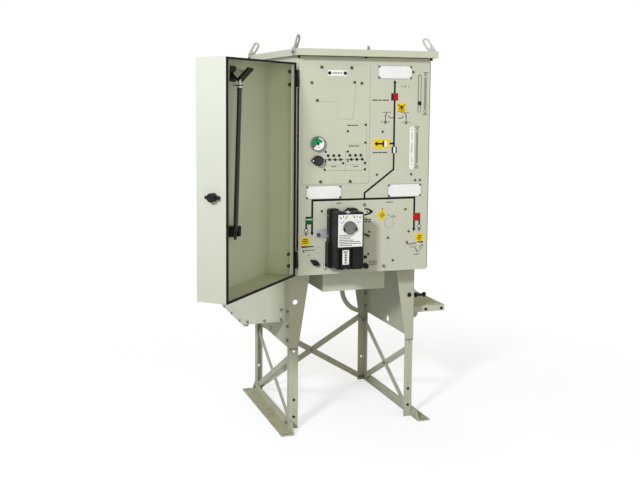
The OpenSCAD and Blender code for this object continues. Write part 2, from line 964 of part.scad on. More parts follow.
module left_gland_plate() {
    color([0.74, 0.75, 0.67])
        mirror([1, 0, 0])
            gland_plate();
}

module right_gland_plate() {
    color([0.74, 0.75, 0.67])
        gland_plate();
}

// Cable box cover of the left side, closed above the gland plate, with a skirt round its folds.
module left_cable_box() {
    x0 = -gland_x - cover_t;
    y0 = gland_y0 - cover_t;
    y1 = gland_y1 + cover_t;
    color([0.77, 0.78, 0.7])
        difference() {
            block([x0, y0, gland_z - skirt_h], [-frame_x, y1, gland_z + cable_box_h]);
            block([-gland_x, gland_y0, gland_z - skirt_h - through],
                [-frame_x + through, gland_y1, gland_z]);
        }
}

// Blanked gland stub under the right gland plate, with a collar and a stepped end.
module gland_stub() {
    color([0.55, 0.56, 0.5])
        translate([frame_x + stub_out, gland_y0 + stub_back, gland_z - gland_t])
            rotate([180, 0, 0]) {
                cylinder(h = stub_len - stub_collar_h, d = stub_d);
                cylinder(h = stub_collar_h, d = stub_collar_d);
                cylinder(h = stub_len, d = stub_d - stub_collar_h);
            }
}

module drain_plug() {
    color([0.25, 0.25, 0.24])
        translate([-gland_x + plug_in, gland_y0 + plug_in, gland_z - gland_t])
            rotate([180, 0, 0])
                cylinder(h = plug_len, d = plug_d);
}

// Earth stud with two hexagon nuts, out of the right side frame.
module earth_stud() {
    nut_d = stud_nut_w / cos(30);
    color([0.12, 0.12, 0.12])
        translate([frame_x, frame_front + stud_back, stud_z])
            rotate([0, 90, 0]) {
                cylinder(h = stud_len, d = stud_d);
                for (x = [0, stud_nut_space, stud_len - stud_nut_h])
                    translate([0, 0, x])
                        cylinder(h = stud_nut_h, d = nut_d, $fn = 6);
            }
}

module earth_boss() {
    color([0.7, 0.71, 0.63])
        translate([frame_x, frame_front + stud_back + boss_back, stud_z + boss_rise])
            rotate([0, 90, 0])
                cylinder(h = boss_len, d = boss_d);
}

// Bent conduit from the cabinet floor to the rear of the right leg.
module rear_conduit() {
    y = frame_rear + conduit_back;
    bend_z = conduit_z + conduit_bend;
    color([0.6, 0.6, 0.53])
        difference() {
            conduit_solid(y, bend_z, conduit_d);
            translate([conduit_x + conduit_bend + through, y, conduit_z])
                rotate([0, 90, 0])
                    cylinder(h = conduit_run, d = conduit_d - 2 * conduit_wall);
        }
}

module conduit_solid(y, bend_z, d) {
    translate([conduit_x, y, bend_z])
        cylinder(h = floor_z - bend_z, d = d);
    translate([conduit_x + conduit_bend, y, bend_z])
        rotate([90, 0, 0])
            rotate([0, 0, 180])
                rotate_extrude(angle = 90)
                    translate([conduit_bend, 0])
                        circle(d / 2);
    translate([conduit_x + conduit_bend, y, conduit_z])
        rotate([0, 90, 0])
            cylinder(h = conduit_run, d = d);
}

// Flat cover over the instruments, let into the front panel's upper left.
module instrument_cover() {
    color([0.8, 0.81, 0.73])
        difference() {
            block([-cover_left, cover_face, floor_z + cover_low],
                [cover_right, panel_front, floor_z + cover_high]);
            translate([-gauge_x, cover_face - through, floor_z + selector_z])
                rotate([-90, 0, 0])
                    cylinder(h = cover_plate_t + 2 * through, d = spindle_d + 2 * spindle_gap);
        }
}

module pressure_gauge() {
    color([0.85, 0.86, 0.85])
        translate([-gauge_x, cover_face, floor_z + gauge_z])
            rotate([90, 0, 0])
                difference() {
                    cylinder(h = gauge_h, d = gauge_d);
                    translate([0, 0, gauge_h - gauge_dial])
                        cylinder(h = gauge_dial + eps, d = gauge_d - 2 * gauge_rim);
                }
}

// Selector knob: round hub with a pointer to the left, on a spindle through the cover.
module selector_knob() {
    r = selector_d / 2;
    half = acos(r / selector_tip);
    color([0.14, 0.14, 0.15])
        translate([-gauge_x, cover_face - knob_gap, floor_z + selector_z])
            rotate([90, 0, 0]) {
                linear_extrude(height = selector_h)
                    union() {
                        circle(r);
                        polygon([[-selector_tip, 0], [-r * cos(half), -r * sin(half)],
                            [-r * cos(half), r * sin(half)]]);
                    }
                translate([0, 0, -knob_gap - cover_plate_t])
                    cylinder(h = knob_gap + cover_plate_t + eps, d = spindle_d);
            }
}

module test_sockets() {
    color([0.1, 0.1, 0.1])
        for (group = [0, 1])
            for (row = [0, 1])
                for (i = [0:2])
                    translate([-socket_x + group * socket_group + row * socket_shift + i * socket_pitch,
                        cover_face, floor_z + socket_z - row * socket_drop])
                        rotate([90, 0, 0])
                            difference() {
                                cylinder(h = socket_h, d = socket_d);
                                translate([0, 0, socket_h / 2])
                                    cylinder(h = socket_h, d = socket_bore);
                            }
}

module label_plates() {
    color([0.95, 0.95, 0.95])
        for (at = [[-label_x, label_low_z], [label_x, label_low_z], [label_top_x, label_top_z]])
            translate([at[0] - label_w / 2, panel_front - label_t, floor_z + at[1] - label_h / 2])
                cube([label_w, label_t, label_h]);
}

module indicator_slider() {
    w = slide_w - 2 * slide_gap;
    z0 = floor_z + slide_low + slide_at;
    color([0.08, 0.08, 0.08])
        block([slide_x - w / 2, panel_front - slide_block_out, z0],
            [slide_x + w / 2, panel_front + panel_t, z0 + slide_block_h]);
}

// Front outline of the actuator: dipped top, hollowed lower edge.
module act_outline(inset) {
    dip_r = (act_notch_w * act_notch_w / 4 + act_notch_h * act_notch_h) / (2 * act_notch_h);
    difference() {
        round_rect([act_x0 + inset, act_z0 + inset], [act_x1 - inset, act_z1 - inset], act_round);
        translate([act_mid, act_z1 - act_notch_h + dip_r])
            circle(dip_r);
        translate([act_tag_x, act_z0 + act_hollow_h - act_channel_space / 2])
            circle(act_channel_space / 2);
    }
}

// Actuator housing: wide rear base on a wider foot, narrower front with grooved sides and two channels.
module actuator_housing() {
    color([0.1, 0.1, 0.11])
        difference() {
            union() {
                standing(panel_front - act_base_depth, act_base_depth)
                    union() {
                        act_outline(0);
                        difference() {
                            round_rect([act_x0 - act_foot_out, act_z0],
                                [act_x1 + act_foot_out, act_z0 + act_foot_h], act_round);
                            translate([act_tag_x, act_z0 + act_hollow_h - act_channel_space / 2])
                                circle(act_channel_space / 2);
                        }
                    }
                standing(act_front, act_depth)
                    act_outline(act_step);
            }
            for (x = [act_tag_x - act_channel_space / 2 - act_channel_w, act_tag_x + act_channel_space / 2])
                block([x, act_front - through, act_z0 - through],
                    [x + act_channel_w, act_front + act_channel_d, act_z0 + act_channel_h]);
            for (y = [act_groove_y, act_groove_y - act_groove_pitch])
                for (x = [act_x0 + act_step, act_x1 - act_step])
                    block([x - act_groove / 2, y, act_z0 + act_round + act_step],
                        [x + act_groove / 2, y + act_groove, act_z1 - act_round - act_step]);
            translate([act_x0 + act_knob_x, act_front - through, act_z0 + act_knob_z])
                rotate([-90, 0, 0])
                    cylinder(h = through + act_channel_d, d = spindle_d + 2 * spindle_gap);
        }
}

// White plates of the actuator: the large one on its face, the small one below between the channels.
module actuator_plates() {
    color([0.95, 0.95, 0.95]) {
        difference() {
            block([act_mid - act_plate_w / 2, act_front - act_plate_t, act_z0 + act_plate_low],
                [act_mid + act_plate_w / 2, act_front, act_z0 + act_plate_low + act_plate_h]);
            translate([act_x0 + act_knob_x, act_front - through, act_z0 + act_knob_z])
                rotate([-90, 0, 0])
                    cylinder(h = 2 * through, d = spindle_hole_d);
        }
        block([act_tag_x - act_tag_w / 2, act_front - act_plate_t, act_z0 + act_tag_low],
            [act_tag_x + act_tag_w / 2, act_front, act_z0 + act_tag_low + act_tag_h]);
    }
}

// Actuator knob: wide upper half and narrower lower half on one spindle.
module actuator_knob() {
    color([0.5, 0.52, 0.51])
        translate([act_x0 + act_knob_x, act_front - act_plate_t - knob_gap, act_z0 + act_knob_z])
            rotate([90, 0, 0]) {
                linear_extrude(height = act_knob_h)
                    union() {
                        intersection() {
                            circle(act_knob_d / 2);
                            translate([-act_knob_d / 2, -act_knob_drop])
                                square([act_knob_d, act_knob_d]);
                        }
                        translate([0, -act_knob_drop])
                            circle(act_knob_low_d / 2);
                    }
                translate([0, 0, -knob_gap - act_plate_t - act_channel_d / 2])
                    cylinder(h = knob_gap + act_plate_t + act_channel_d / 2 + eps, d = spindle_d);
            }
}

module actuator_bracket() {
    z0 = act_z0 + bracket_low;
    color([0.72, 0.73, 0.76])
        block([act_x0 - bracket_reach, panel_front - bracket_t, z0], [act_x0, panel_front, z0 + bracket_h]);
}

// Wing knob standing on a face, turned in its plane.
module wing_shape(hub, span, w, h) {
    cylinder(h = h, d = hub);
    linear_extrude(height = h * wing_part)
        slot_x(span, w);
}

module lower_wing_knob() {
    color([0.09, 0.09, 0.1])
        translate([-wing_x, panel_front, floor_z + wing_z])
            rotate([90, 0, 0])
                rotate([0, 0, -wing_turn])
                    wing_shape(wing_hub_d, wing_span, wing_w, wing_h);
}

module lower_round_knob() {
    color([0.09, 0.09, 0.1])
        translate([button_x, panel_front, button_z])
            rotate([90, 0, 0])
                cylinder(h = button_h, d = button_d);
}

// Puts door pieces, drawn shut with the hinge axis at the origin, into the open pose.
module open_door() {
    translate([axis_x, axis_y, 0])
        rotate([0, 0, -door_open])
            children();
}

// Cross-section of the door's pan, its outer folds rounded.
module pan_section(u0, u1, v0, v1, r) {
    translate([u0, -v1 + r])
        square([u1 - u0, v1 - v0 - r]);
    translate([u0 + r, -v1])
        square([u1 - u0 - 2 * r, r + eps]);
    for (u = [u0 + r, u1 - r])
        translate([u, -v1 + r])
            circle(r);
}

// Door: a deep pan with a lip round its mouth.
module door_shell() {
    u0 = hinge_wall;
    z1 = door_z0 + door_h;
    color([0.84, 0.85, 0.8])
        open_door()
            difference() {
                translate([0, 0, door_z0])
                    linear_extrude(height = door_h)
                        pan_section(u0, door_u1, door_v0, door_v1, door_bend);
                translate([0, 0, door_z0 + door_t])
                    linear_extrude(height = door_h - 2 * door_t)
                        pan_section(u0 + door_t, door_u1 - door_t, door_v0 + door_t, door_v1 - door_t,
                            door_bend - door_t);
                block([u0 + lip_hinge_w, -door_v0 - door_t - eps, door_z0 + lip_w],
                    [door_u1 - lip_w, -door_v0 + through, z1 - lip_w]);
                translate([door_u1 - door_t - through, -latch_in, floor_z + latch_z])
                    rotate([0, 90, 0])
                        cylinder(h = door_t + 2 * through, d = spindle_d + 2 * spindle_gap);
            }
}

// Gasket frame on the lip of the door's mouth.
module door_gasket() {
    u0 = hinge_wall;
    z1 = door_z0 + door_h;
    color([0.05, 0.05, 0.05])
        open_door()
            difference() {
                block([u0, -gasket_t, door_z0], [door_u1, 0, z1]);
                block([u0 + gasket_w, -gasket_t - eps, door_z0 + gasket_w],
                    [door_u1 - gasket_w, eps, z1 - gasket_w]);
            }
}

hinge_levels = [floor_z + hinge_low, floor_z + hinge_high];
half_hinge = (hinge_h - barrel_gap) / 2;

// Upper halves of the lift-off hinges, on the door's side wall.
module door_hinge_leaves() {
    color([0.06, 0.06, 0.06])
        open_door()
            for (z = hinge_levels)
                translate([0, 0, z + half_hinge + barrel_gap])
                    difference() {
                        union() {
                            cylinder(h = half_hinge, d = barrel_d);
                            block([leaf_in, -leaf_len, 0], [hinge_wall, -leaf_clear, half_hinge]);
                        }
                        translate([0, 0, -eps])
                            cylinder(h = half_hinge - pin_cap, d = pin_d + 2 * pin_gap);
                    }
}

// Lower halves of the lift-off hinges with their pins, on the cabinet's side.
module cabinet_hinge_leaves() {
    color([0.06, 0.06, 0.06])
        translate([axis_x, axis_y, 0])
            for (z = hinge_levels)
                translate([0, 0, z]) {
                    cylinder(h = half_hinge, d = barrel_d);
                    cylinder(h = hinge_h - pin_cap - pin_end, d = pin_d);
                    block([leaf_in, leaf_clear, 0], [hinge_out, leaf_len, half_hinge]);
                }
}

// Latch knob with two wings on the door's free side wall.
module latch_knob() {
    color([0.09, 0.09, 0.1])
        open_door()
            translate([door_u1 + knob_gap, -latch_in, floor_z + latch_z])
                rotate([0, 90, 0]) {
                    rotate([0, 0, 90])
                        wing_shape(latch_hub_d, latch_span, latch_wing_w, latch_h);
                    translate([0, 0, -knob_gap - door_t])
                        cylinder(h = knob_gap + door_t + eps, d = spindle_d);
                }
}

// Puts pieces drawn along Z onto the line of the handle's rod.
module on_rod() {
    translate([rod_u, -rod_v, rod_z])
        rotate([0, -rod_lean, 0])
            children();
}

// Operating handle: rod with a thinner tip, a collar and a square socket head across it.
module operating_handle() {
    color([0.1, 0.1, 0.1])
        open_door()
            on_rod()
                difference() {
                    union() {
                        cylinder(h = rod_len, d = rod_d);
                        translate([0, 0, -tip_len])
                            cylinder(h = tip_len + eps, d = tip_d);
                        translate([0, 0, rod_len - collar_h])
                            cylinder(h = 2 * collar_h, d = collar_d);
                        translate([0, 0, rod_len])
                            cylinder(h = head_rise, d = tip_d);
                        translate([0, 0, rod_len + head_rise])
                            rotate([45, 0, 0])
                                block([-head_len / 2, -head_w / 2, -head_w / 2],
                                    [head_len / 2, head_w / 2, head_w / 2]);
                    }
                    translate([0, 0, rod_len + head_rise])
                        rotate([0, -90, 0])
                            cylinder(h = head_len, d = head_bore);
                }
}

// Clips that hold the handle inside the door: a slotted block below, a forked bracket above.
module handle_clips() {
    back = door_v1 - door_t;
    color([0.08, 0.08, 0.08])
        open_door() {
            difference() {
                on_rod()
                    block([-clip_w / 2, -rod_stand, -clip_h + rod_d], [clip_w / 2, rod_d / 2, rod_d]);
                on_rod()
                    translate([0, 0, -clip_h])
                        linear_extrude(height = 2 * clip_h) {
                            circle(rod_d / 2 + clip_gap);
                            translate([-rod_d / 2 - clip_gap, 0])
                                square([rod_d + 2 * clip_gap, rod_d]);
                        }
                block([rod_u - clip_w, -back - through * 2, rod_z - clip_h * 2],
                    [rod_u + clip_w, -back, rod_z + clip_h * 2]);
            }
            upper_clip(back);
        }
}

// Forked bracket: the head's lower faces rest in its two prongs.
module upper_clip(back) {
    seat = head_w / 2 + clip_gap;
    foot = seat + prong_t;
    slot = collar_d / 2 + clip_gap;
    difference() {
        on_rod()
            translate([0, 0, rod_len + head_rise]) {
                rotate([45, 0, 0]) {
                    block([-prong_w / 2, -foot, -foot], [prong_w / 2, prong_len - seat, -seat]);
                    block([-prong_w / 2, -foot, -seat], [prong_w / 2, -seat, prong_len - seat]);
                }
                block([-prong_w / 2 - clip_foot_t, -rod_stand - through, -prong_len / 2],
                    [prong_w / 2 + clip_foot_t, clip_foot_t - rod_stand, prong_len / 2]);
            }
        on_rod()
            translate([0, 0, rod_len])
                block([-slot, -slot, 0], [slot, slot, head_rise]);
        block([rod_u - 4 * clip_w, -back - prong_len, rod_z],
            [rod_u + 4 * clip_w, -back, rod_z + 2 * rod_len]);
    }
}

left_base_angle();
right_base_angle();
left_side_frame();
right_side_frame();
front_left_leg();
front_right_leg();
rear_left_leg();
rear_right_leg();
left_outer_brace();
left_inner_brace();
right_outer_brace();
right_inner_brace();
rear_outer_brace();
rear_inner_brace();
cabinet_body();
front_panel();
under_box();
roof();
lifting_lugs();
left_gland_plate();
right_gland_plate();
left_cable_box();
gland_stub();
drain_plug();
earth_stud();
earth_boss();
rear_conduit();
instrument_cover();
pressure_gauge();
selector_knob();
test_sockets();
label_plates();
indicator_slider();
actuator_housing();
actuator_plates();
actuator_knob();
actuator_bracket();
lower_wing_knob();
lower_round_knob();
door_shell();
door_gasket();
door_hinge_leaves();
cabinet_hinge_leaves();
latch_knob();
operating_handle();
handle_clips();
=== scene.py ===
import math

import bpy
from mathutils import Matrix, Vector


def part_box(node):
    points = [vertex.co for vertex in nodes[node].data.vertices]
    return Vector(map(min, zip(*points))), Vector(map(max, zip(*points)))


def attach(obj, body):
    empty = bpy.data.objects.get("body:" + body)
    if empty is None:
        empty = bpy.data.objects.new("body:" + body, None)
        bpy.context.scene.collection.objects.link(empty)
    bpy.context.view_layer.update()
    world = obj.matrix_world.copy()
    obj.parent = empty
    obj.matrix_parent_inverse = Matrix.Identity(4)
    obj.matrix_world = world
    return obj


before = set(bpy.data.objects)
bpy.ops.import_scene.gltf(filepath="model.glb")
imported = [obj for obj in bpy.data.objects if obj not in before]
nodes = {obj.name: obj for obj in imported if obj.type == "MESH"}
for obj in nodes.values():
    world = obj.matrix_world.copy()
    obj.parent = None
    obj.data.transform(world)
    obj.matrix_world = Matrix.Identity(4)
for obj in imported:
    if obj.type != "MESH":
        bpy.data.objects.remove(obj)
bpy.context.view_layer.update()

# The view: a plain lens at head height stands four metres off, a little left of the cabinet.
# It looks slightly down past the open door, and the picture is shifted down to take in the stand.
view_place = (-1.4682, -4.0447, 1.455)
view_heading = math.radians(-18.708)
view_tilt = math.radians(90 - 5.675)
view_roll = math.radians(0.472)
view_sensor = 36
view_lens = 52.37
view_shift = (0.0096, -0.08)
bpy.ops.object.select_all(action="DESELECT")
bpy.ops.object.camera_add(location=view_place)
view = bpy.context.object
view.name = "view"
heading = Matrix.Rotation(view_heading, 3, "Z")
tilt = Matrix.Rotation(view_tilt, 3, "X")
roll = Matrix.Rotation(view_roll, 3, "Z")
view.rotation_euler = (heading @ tilt @ roll).to_euler()
view.data.sensor_width = view_sensor
view.data.lens = view_lens
view.data.shift_x, view.data.shift_y = view_shift
bpy.context.scene.camera = view
bpy.context.scene.view_settings.view_transform = "Standard"

# The room: a white studio, bright behind the cabinet and in its reflections, softer as a light.
# A soft lamp stands at the front left, with weaker ones by the lens, at the right and behind.
glow_colour = (1.0, 0.965, 0.8, 1)
glow_strength = 0.41
room = bpy.data.worlds.new("white_room")
bpy.context.scene.world = room
room.use_nodes = True
room_nodes = room.node_tree.nodes
room_links = room.node_tree.links
room_nodes.clear()
room_path = room_nodes.new("ShaderNodeLightPath")
room_seen = room_nodes.new("ShaderNodeMath")
room_seen.operation = "MAXIMUM"
room_links.new(room_path.outputs["Is Camera Ray"], room_seen.inputs[0])
room_links.new(room_path.outputs["Is Glossy Ray"], room_seen.inputs[1])
room_through = room_nodes.new("ShaderNodeMath")
room_through.operation = "MAXIMUM"
room_links.new(room_seen.outputs[0], room_through.inputs[0])
room_links.new(room_path.outputs["Is Transmission Ray"], room_through.inputs[1])
room_glow = room_nodes.new("ShaderNodeBackground")
room_glow.inputs["Color"].default_value = glow_colour
room_glow.inputs["Strength"].default_value = glow_strength
room_white = room_nodes.new("ShaderNodeBackground")
room_white.inputs["Color"].default_value = (1, 1, 1, 1)
room_white.inputs["Strength"].default_value = 1.0
room_mix = room_nodes.new("ShaderNodeMixShader")
room_links.new(room_through.outputs[0], room_mix.inputs["Fac"])
room_links.new(room_glow.outputs[0], room_mix.inputs[1])
room_links.new(room_white.outputs[0], room_mix.inputs[2])
room_out = room_nodes.new("ShaderNodeOutputWorld")
room_links.new(room_mix.outputs[0], room_out.inputs["Surface"])


def soft_lamp(name, place, aim, width, power, colour):
    """A square soft lamp of one colour that looks at a point."""
    bpy.ops.object.select_all(action="DESELECT")
    bpy.ops.object.light_add(type="AREA", location=place)
    lamp = bpy.context.object
    lamp.name = name
    lamp.data.shape = "SQUARE"
    lamp.data.size = width
    lamp.data.energy = power
    lamp.data.color = colour
    lamp.rotation_euler = (Vector(aim) - Vector(place)).to_track_quat("-Z", "Y").to_euler()


cool = (0.89, 0.937, 1.0)
warm = (1.0, 0.97, 0.86)
panel_middle = (-0.1, -0.3, 1.1)
unit_middle = (0.0, 0.0, 0.9)
soft_lamp("front_left_lamp", (-3.94, -4.27, 3.44), panel_middle, 0.7, 257, cool)
soft_lamp("front_lamp", (-1.3, -4.8, 1.9), panel_middle, 2.0, 24, warm)
soft_lamp("right_lamp", (3.0, -2.6, 1.9), unit_middle, 2.4, 8, warm)
soft_lamp("rear_lamp", (0.6, 3.4, 2.8), unit_middle, 2.4, 34, warm)

# The floor: a pale seamless sheet that keeps the shadow under the stand.
# It thins out to the white of the room before it reaches the edge of the picture.
floor_level = -0.0004
floor_reach = 4.0
floor_fade_start = 0.75
floor_fade_end = 2.2
floor_colour = (0.48, 0.49, 0.53, 1)
floor_glow_strength = 0.62
bpy.ops.object.select_all(action="DESELECT")
bpy.ops.mesh.primitive_circle_add(
    vertices=96, radius=floor_reach, fill_type="NGON", location=(0, 0, floor_level)
)
floor = bpy.context.object
floor.name = "studio_floor"
bpy.ops.object.transform_apply(location=True, rotation=False, scale=False)
floor_finish = bpy.data.materials.new("pale_floor")
floor_finish.use_nodes = True
floor_nodes = floor_finish.node_tree.nodes
floor_links = floor_finish.node_tree.links
floor_nodes.clear()
floor_place = floor_nodes.new("ShaderNodeTexCoord")
floor_far = floor_nodes.new("ShaderNodeVectorMath")
floor_far.operation = "LENGTH"
floor_links.new(floor_place.outputs["Object"], floor_far.inputs[0])
floor_fade = floor_nodes.new("ShaderNodeMapRange")
floor_fade.interpolation_type = "SMOOTHSTEP"
floor_fade.inputs["From Min"].default_value = floor_fade_start
floor_fade.inputs["From Max"].default_value = floor_fade_end
floor_links.new(floor_far.outputs["Value"], floor_fade.inputs["Value"])
floor_matt = floor_nodes.new("ShaderNodeBsdfDiffuse")
floor_matt.inputs["Color"].default_value = floor_colour
floor_path = floor_nodes.new("ShaderNodeLightPath")
floor_lift = floor_nodes.new("ShaderNodeMath")
floor_lift.operation = "MULTIPLY"
floor_lift.inputs[1].default_value = floor_glow_strength
floor_links.new(floor_path.outputs["Is Camera Ray"], floor_lift.inputs[0])
floor_glow = floor_nodes.new("ShaderNodeEmission")
floor_links.new(floor_lift.outputs[0], floor_glow.inputs["Strength"])
floor_sum = floor_nodes.new("ShaderNodeAddShader")
floor_links.new(floor_matt.outputs[0], floor_sum.inputs[0])
floor_links.new(floor_glow.outputs[0], floor_sum.inputs[1])
floor_clear = floor_nodes.new("ShaderNodeBsdfTransparent")
floor_mix = floor_nodes.new("ShaderNodeMixShader")
floor_links.new(floor_fade.outputs["Result"], floor_mix.inputs["Fac"])
floor_links.new(floor_sum.outputs[0], floor_mix.inputs[1])
floor_links.new(floor_clear.outputs[0], floor_mix.inputs[2])
floor_out = floor_nodes.new("ShaderNodeOutputMaterial")
floor_links.new(floor_mix.outputs[0], floor_out.inputs["Surface"])
floor.data.materials.append(floor_finish)

# The stand: two folded side frames on four angle legs, two base angles and flat cross braces.
# It is bolted together from mild steel and powder painted in the cabinet's pale grey green; its colour here
# is a darker copy of the cabinet's, as painted shade.
mm = 0.001


def shade(red, green, blue):
    """A colour as it is read from a paint card, 0 to 255, for a shader."""
    levels = []
    for level in (red, green, blue):
        share = level / 255
        levels.append(share / 12.92 if share <= 0.04045 else ((share + 0.055) / 1.055) ** 2.4)
    return (*levels, 1)


def scaled(colour, *shares):
    """A darker or warmer relative of a colour."""
    factors = shares if len(shares) == 3 else shares * 3
    return (*[min(level * factor, 0.92) for level, factor in zip(colour, factors)], 1)


def new_finish(name):
    """A new finish: its nodes, links, body shader and Object coordinates."""
    finish = bpy.data.materials.new(name)
    finish.use_nodes = True
    tree = finish.node_tree
    place = tree.nodes.new("ShaderNodeTexCoord").outputs["Object"]
    return finish, tree.nodes, tree.links, tree.nodes["Principled BSDF"], place


def ranged(tools, links, value, span, result):
    """Maps a value from one span to another, held at both ends."""
    change = tools.new("ShaderNodeMapRange")
    change.inputs["From Min"].default_value = span[0]
    change.inputs["From Max"].default_value = span[1]
    change.inputs["To Min"].default_value = result[0]
    change.inputs["To Max"].default_value = result[1]
    links.new(value, change.inputs["Value"])
    return change.outputs["Result"]


def cloudy(tools, links, place, patches, detail):
    """A soft random pattern with so many patches to the metre."""
    pattern = tools.new("ShaderNodeTexNoise")
    pattern.inputs["Scale"].default_value = patches
    pattern.inputs["Detail"].default_value = detail
    links.new(place, pattern.inputs["Vector"])
    return pattern.outputs["Fac"]


def layered(tools, links, share, under, over):
    """Lays one colour over another by a share; each is a colour or another layer."""
    mix = tools.new("ShaderNodeMix")
    mix.data_type = "RGBA"
    for socket, colour in ((mix.inputs[6], under), (mix.inputs[7], over)):
        if isinstance(colour, tuple):
            socket.default_value = colour
        else:
            links.new(colour, socket)
    links.new(share, mix.inputs[0])
    return mix.outputs[2]


def product(tools, links, first, second):
    """One value times another."""
    times = tools.new("ShaderNodeMath")
    times.operation = "MULTIPLY"
    links.new(first, times.inputs[0])
    links.new(second, times.inputs[1])
    return times.outputs[0]


def soft_edges(tools, links, radius):
    """The normal of softly rounded edges, and how far it turns from the flat face: 1 is not at all."""
    rounding = tools.new("ShaderNodeBevel")
    rounding.samples = 4
    rounding.inputs["Radius"].default_value = radius
    face = tools.new("ShaderNodeNewGeometry")
    turn = tools.new("ShaderNodeVectorMath")
    turn.operation = "DOT_PRODUCT"
    links.new(rounding.outputs["Normal"], turn.inputs[0])
    links.new(face.outputs["Normal"], turn.inputs[1])
    return rounding.outputs["Normal"], turn.outputs["Value"]


def grained(tools, links, shader, height, normal, strength, depth):
    """Fine relief on the surface, over a normal where one is given."""
    relief = tools.new("ShaderNodeBump")
    relief.inputs["Strength"].default_value = strength
    relief.inputs["Distance"].default_value = depth
    links.new(height, relief.inputs["Height"])
    if normal:
        links.new(normal, relief.inputs["Normal"])
    links.new(relief.outputs["Normal"], shader.inputs["Normal"])


def painted_steel(name, colour, grime_and_shade, rough):
    """Powder paint on steel: clouds, faint runs, orange peel, thin pale edges, painted shade in hollows,
    tops darkened with matt dust and painted shade, dirt low down.
    """
    finish, tools, links, shader, place = new_finish(name)
    clouds = cloudy(tools, links, place, 3.2, 5)
    patches = ranged(tools, links, clouds, (0.3, 0.7), (0, 1))
    tone = layered(tools, links, patches, scaled(colour, 0.93), colour)
    stretch = tools.new("ShaderNodeMapping")
    stretch.inputs["Scale"].default_value = (1, 1, 0.06)
    links.new(place, stretch.inputs["Vector"])
    runs = cloudy(tools, links, stretch.outputs["Vector"], 30, 3)
    runs = ranged(tools, links, runs, (0.52, 0.8), (0, 0.22 * grime_and_shade))
    tone = layered(tools, links, runs, tone, scaled(colour, 0.84, 0.82, 0.76))
    normal, turn = soft_edges(tools, links, 0.0016)
    thin = ranged(tools, links, turn, (0.985, 0.8), (0, 0.5))
    tone = layered(tools, links, thin, tone, scaled(colour, 1.12))
    # Painted shade: a dirt-coloured darkening where occlusion finds hollows and corners, for the shade that
    # falls there.
    hollow_occlusion = tools.new("ShaderNodeAmbientOcclusion")
    hollow_occlusion.samples = 4
    hollow_occlusion.inputs["Distance"].default_value = 0.03
    dirt_and_shade = scaled(colour, 0.42, 0.38, 0.27)
    hollow_shade = ranged(tools, links, hollow_occlusion.outputs["AO"], (0.8, 0.2), (0, 0.5 * grime_and_shade))
    tone = layered(tools, links, hollow_shade, tone, dirt_and_shade)
    # Upward faces darkened and made matt: settled dust, and painted shade for tops that lie in shadow.
    lie = tools.new("ShaderNodeNewGeometry")
    upward = tools.new("ShaderNodeSeparateXYZ")
    links.new(lie.outputs["True Normal"], upward.inputs[0])
    top_dust_and_shade = ranged(tools, links, upward.outputs["Z"], (0.6, 0.95), (0, grime_and_shade))
    tone = layered(tools, links, top_dust_and_shade, tone, scaled(colour, 0.74, 0.73, 0.64))
    height = tools.new("ShaderNodeSeparateXYZ")
    links.new(place, height.inputs[0])
    low = ranged(tools, links, height.outputs["Z"], (0.3, 0.0), (0, 0.55 * grime_and_shade))
    splash = ranged(tools, links, cloudy(tools, links, place, 30, 6), (0.44, 0.7), (0, 1))
    tone = layered(tools, links, product(tools, links, low, splash), tone, dirt_and_shade)
    links.new(tone, shader.inputs["Base Color"])
    gloss = ranged(tools, links, clouds, (0.3, 0.7), (rough - 0.05, rough + 0.07))
    links.new(gloss, shader.inputs["Roughness"])
    sheen = ranged(tools, links, top_dust_and_shade, (0, grime_and_shade), (0.5, 0))
    links.new(sheen, shader.inputs["Specular IOR Level"])
    grained(tools, links, shader, cloudy(tools, links, place, 520, 2), normal, 0.1, 0.0004)
    return finish


def give(finish, *names):
    """Gives CAD pieces their finish."""
    for name in names:
        nodes[name].material_slots[0].material = finish


# The stand's colour is the cabinet paint darkened: painted shade for the stand's low, shaded place.
stand_paint = painted_steel("stand_paint", shade(194, 195, 174), 0.6, 0.5)
sides = ("left", "right")
corners = ("front_left", "front_right", "rear_left", "rear_right")
braced_faces = ("left", "right", "rear")
give(stand_paint, *[side + "_base_angle" for side in sides])
give(stand_paint, *[side + "_side_frame" for side in sides])
give(stand_paint, *[corner + "_leg" for corner in corners])
give(stand_paint, *[face + "_outer_brace" for face in braced_faces])
give(stand_paint, *[face + "_inner_brace" for face in braced_faces])

# Stand bolts: zinc plated hexagon heads on washers at every leg, brace end and brace crossing.
# The heads are outside and the nuts inside; black round heads sit in the front legs' lower holes and
# the hole in the right front flange, their black also painted shade for the dark seen inside those holes.


def metal(name, colour, rough, wear):
    """Bare or plated metal: fine mottling and hair scratches over an even sheen."""
    finish, tools, links, shader, place = new_finish(name)
    mottle = cloudy(tools, links, place, 160, 4)
    patches = ranged(tools, links, mottle, (0.35, 0.7), (0, 1))
    tone = layered(tools, links, patches, scaled(colour, 1 - wear), colour)
    links.new(tone, shader.inputs["Base Color"])
    shader.inputs["Metallic"].default_value = 0.9
    gloss = ranged(tools, links, mottle, (0.3, 0.7), (rough - 0.08, rough + 0.1))
    links.new(gloss, shader.inputs["Roughness"])
    grained(tools, links, shader, cloudy(tools, links, place, 1400, 2), None, 0.08, 0.0002)
    return finish


def choose(piece):
    """Makes one piece the only selected one, and the active one."""
    bpy.ops.object.select_all(action="DESELECT")
    piece.select_set(True)
    bpy.context.view_layer.objects.active = piece


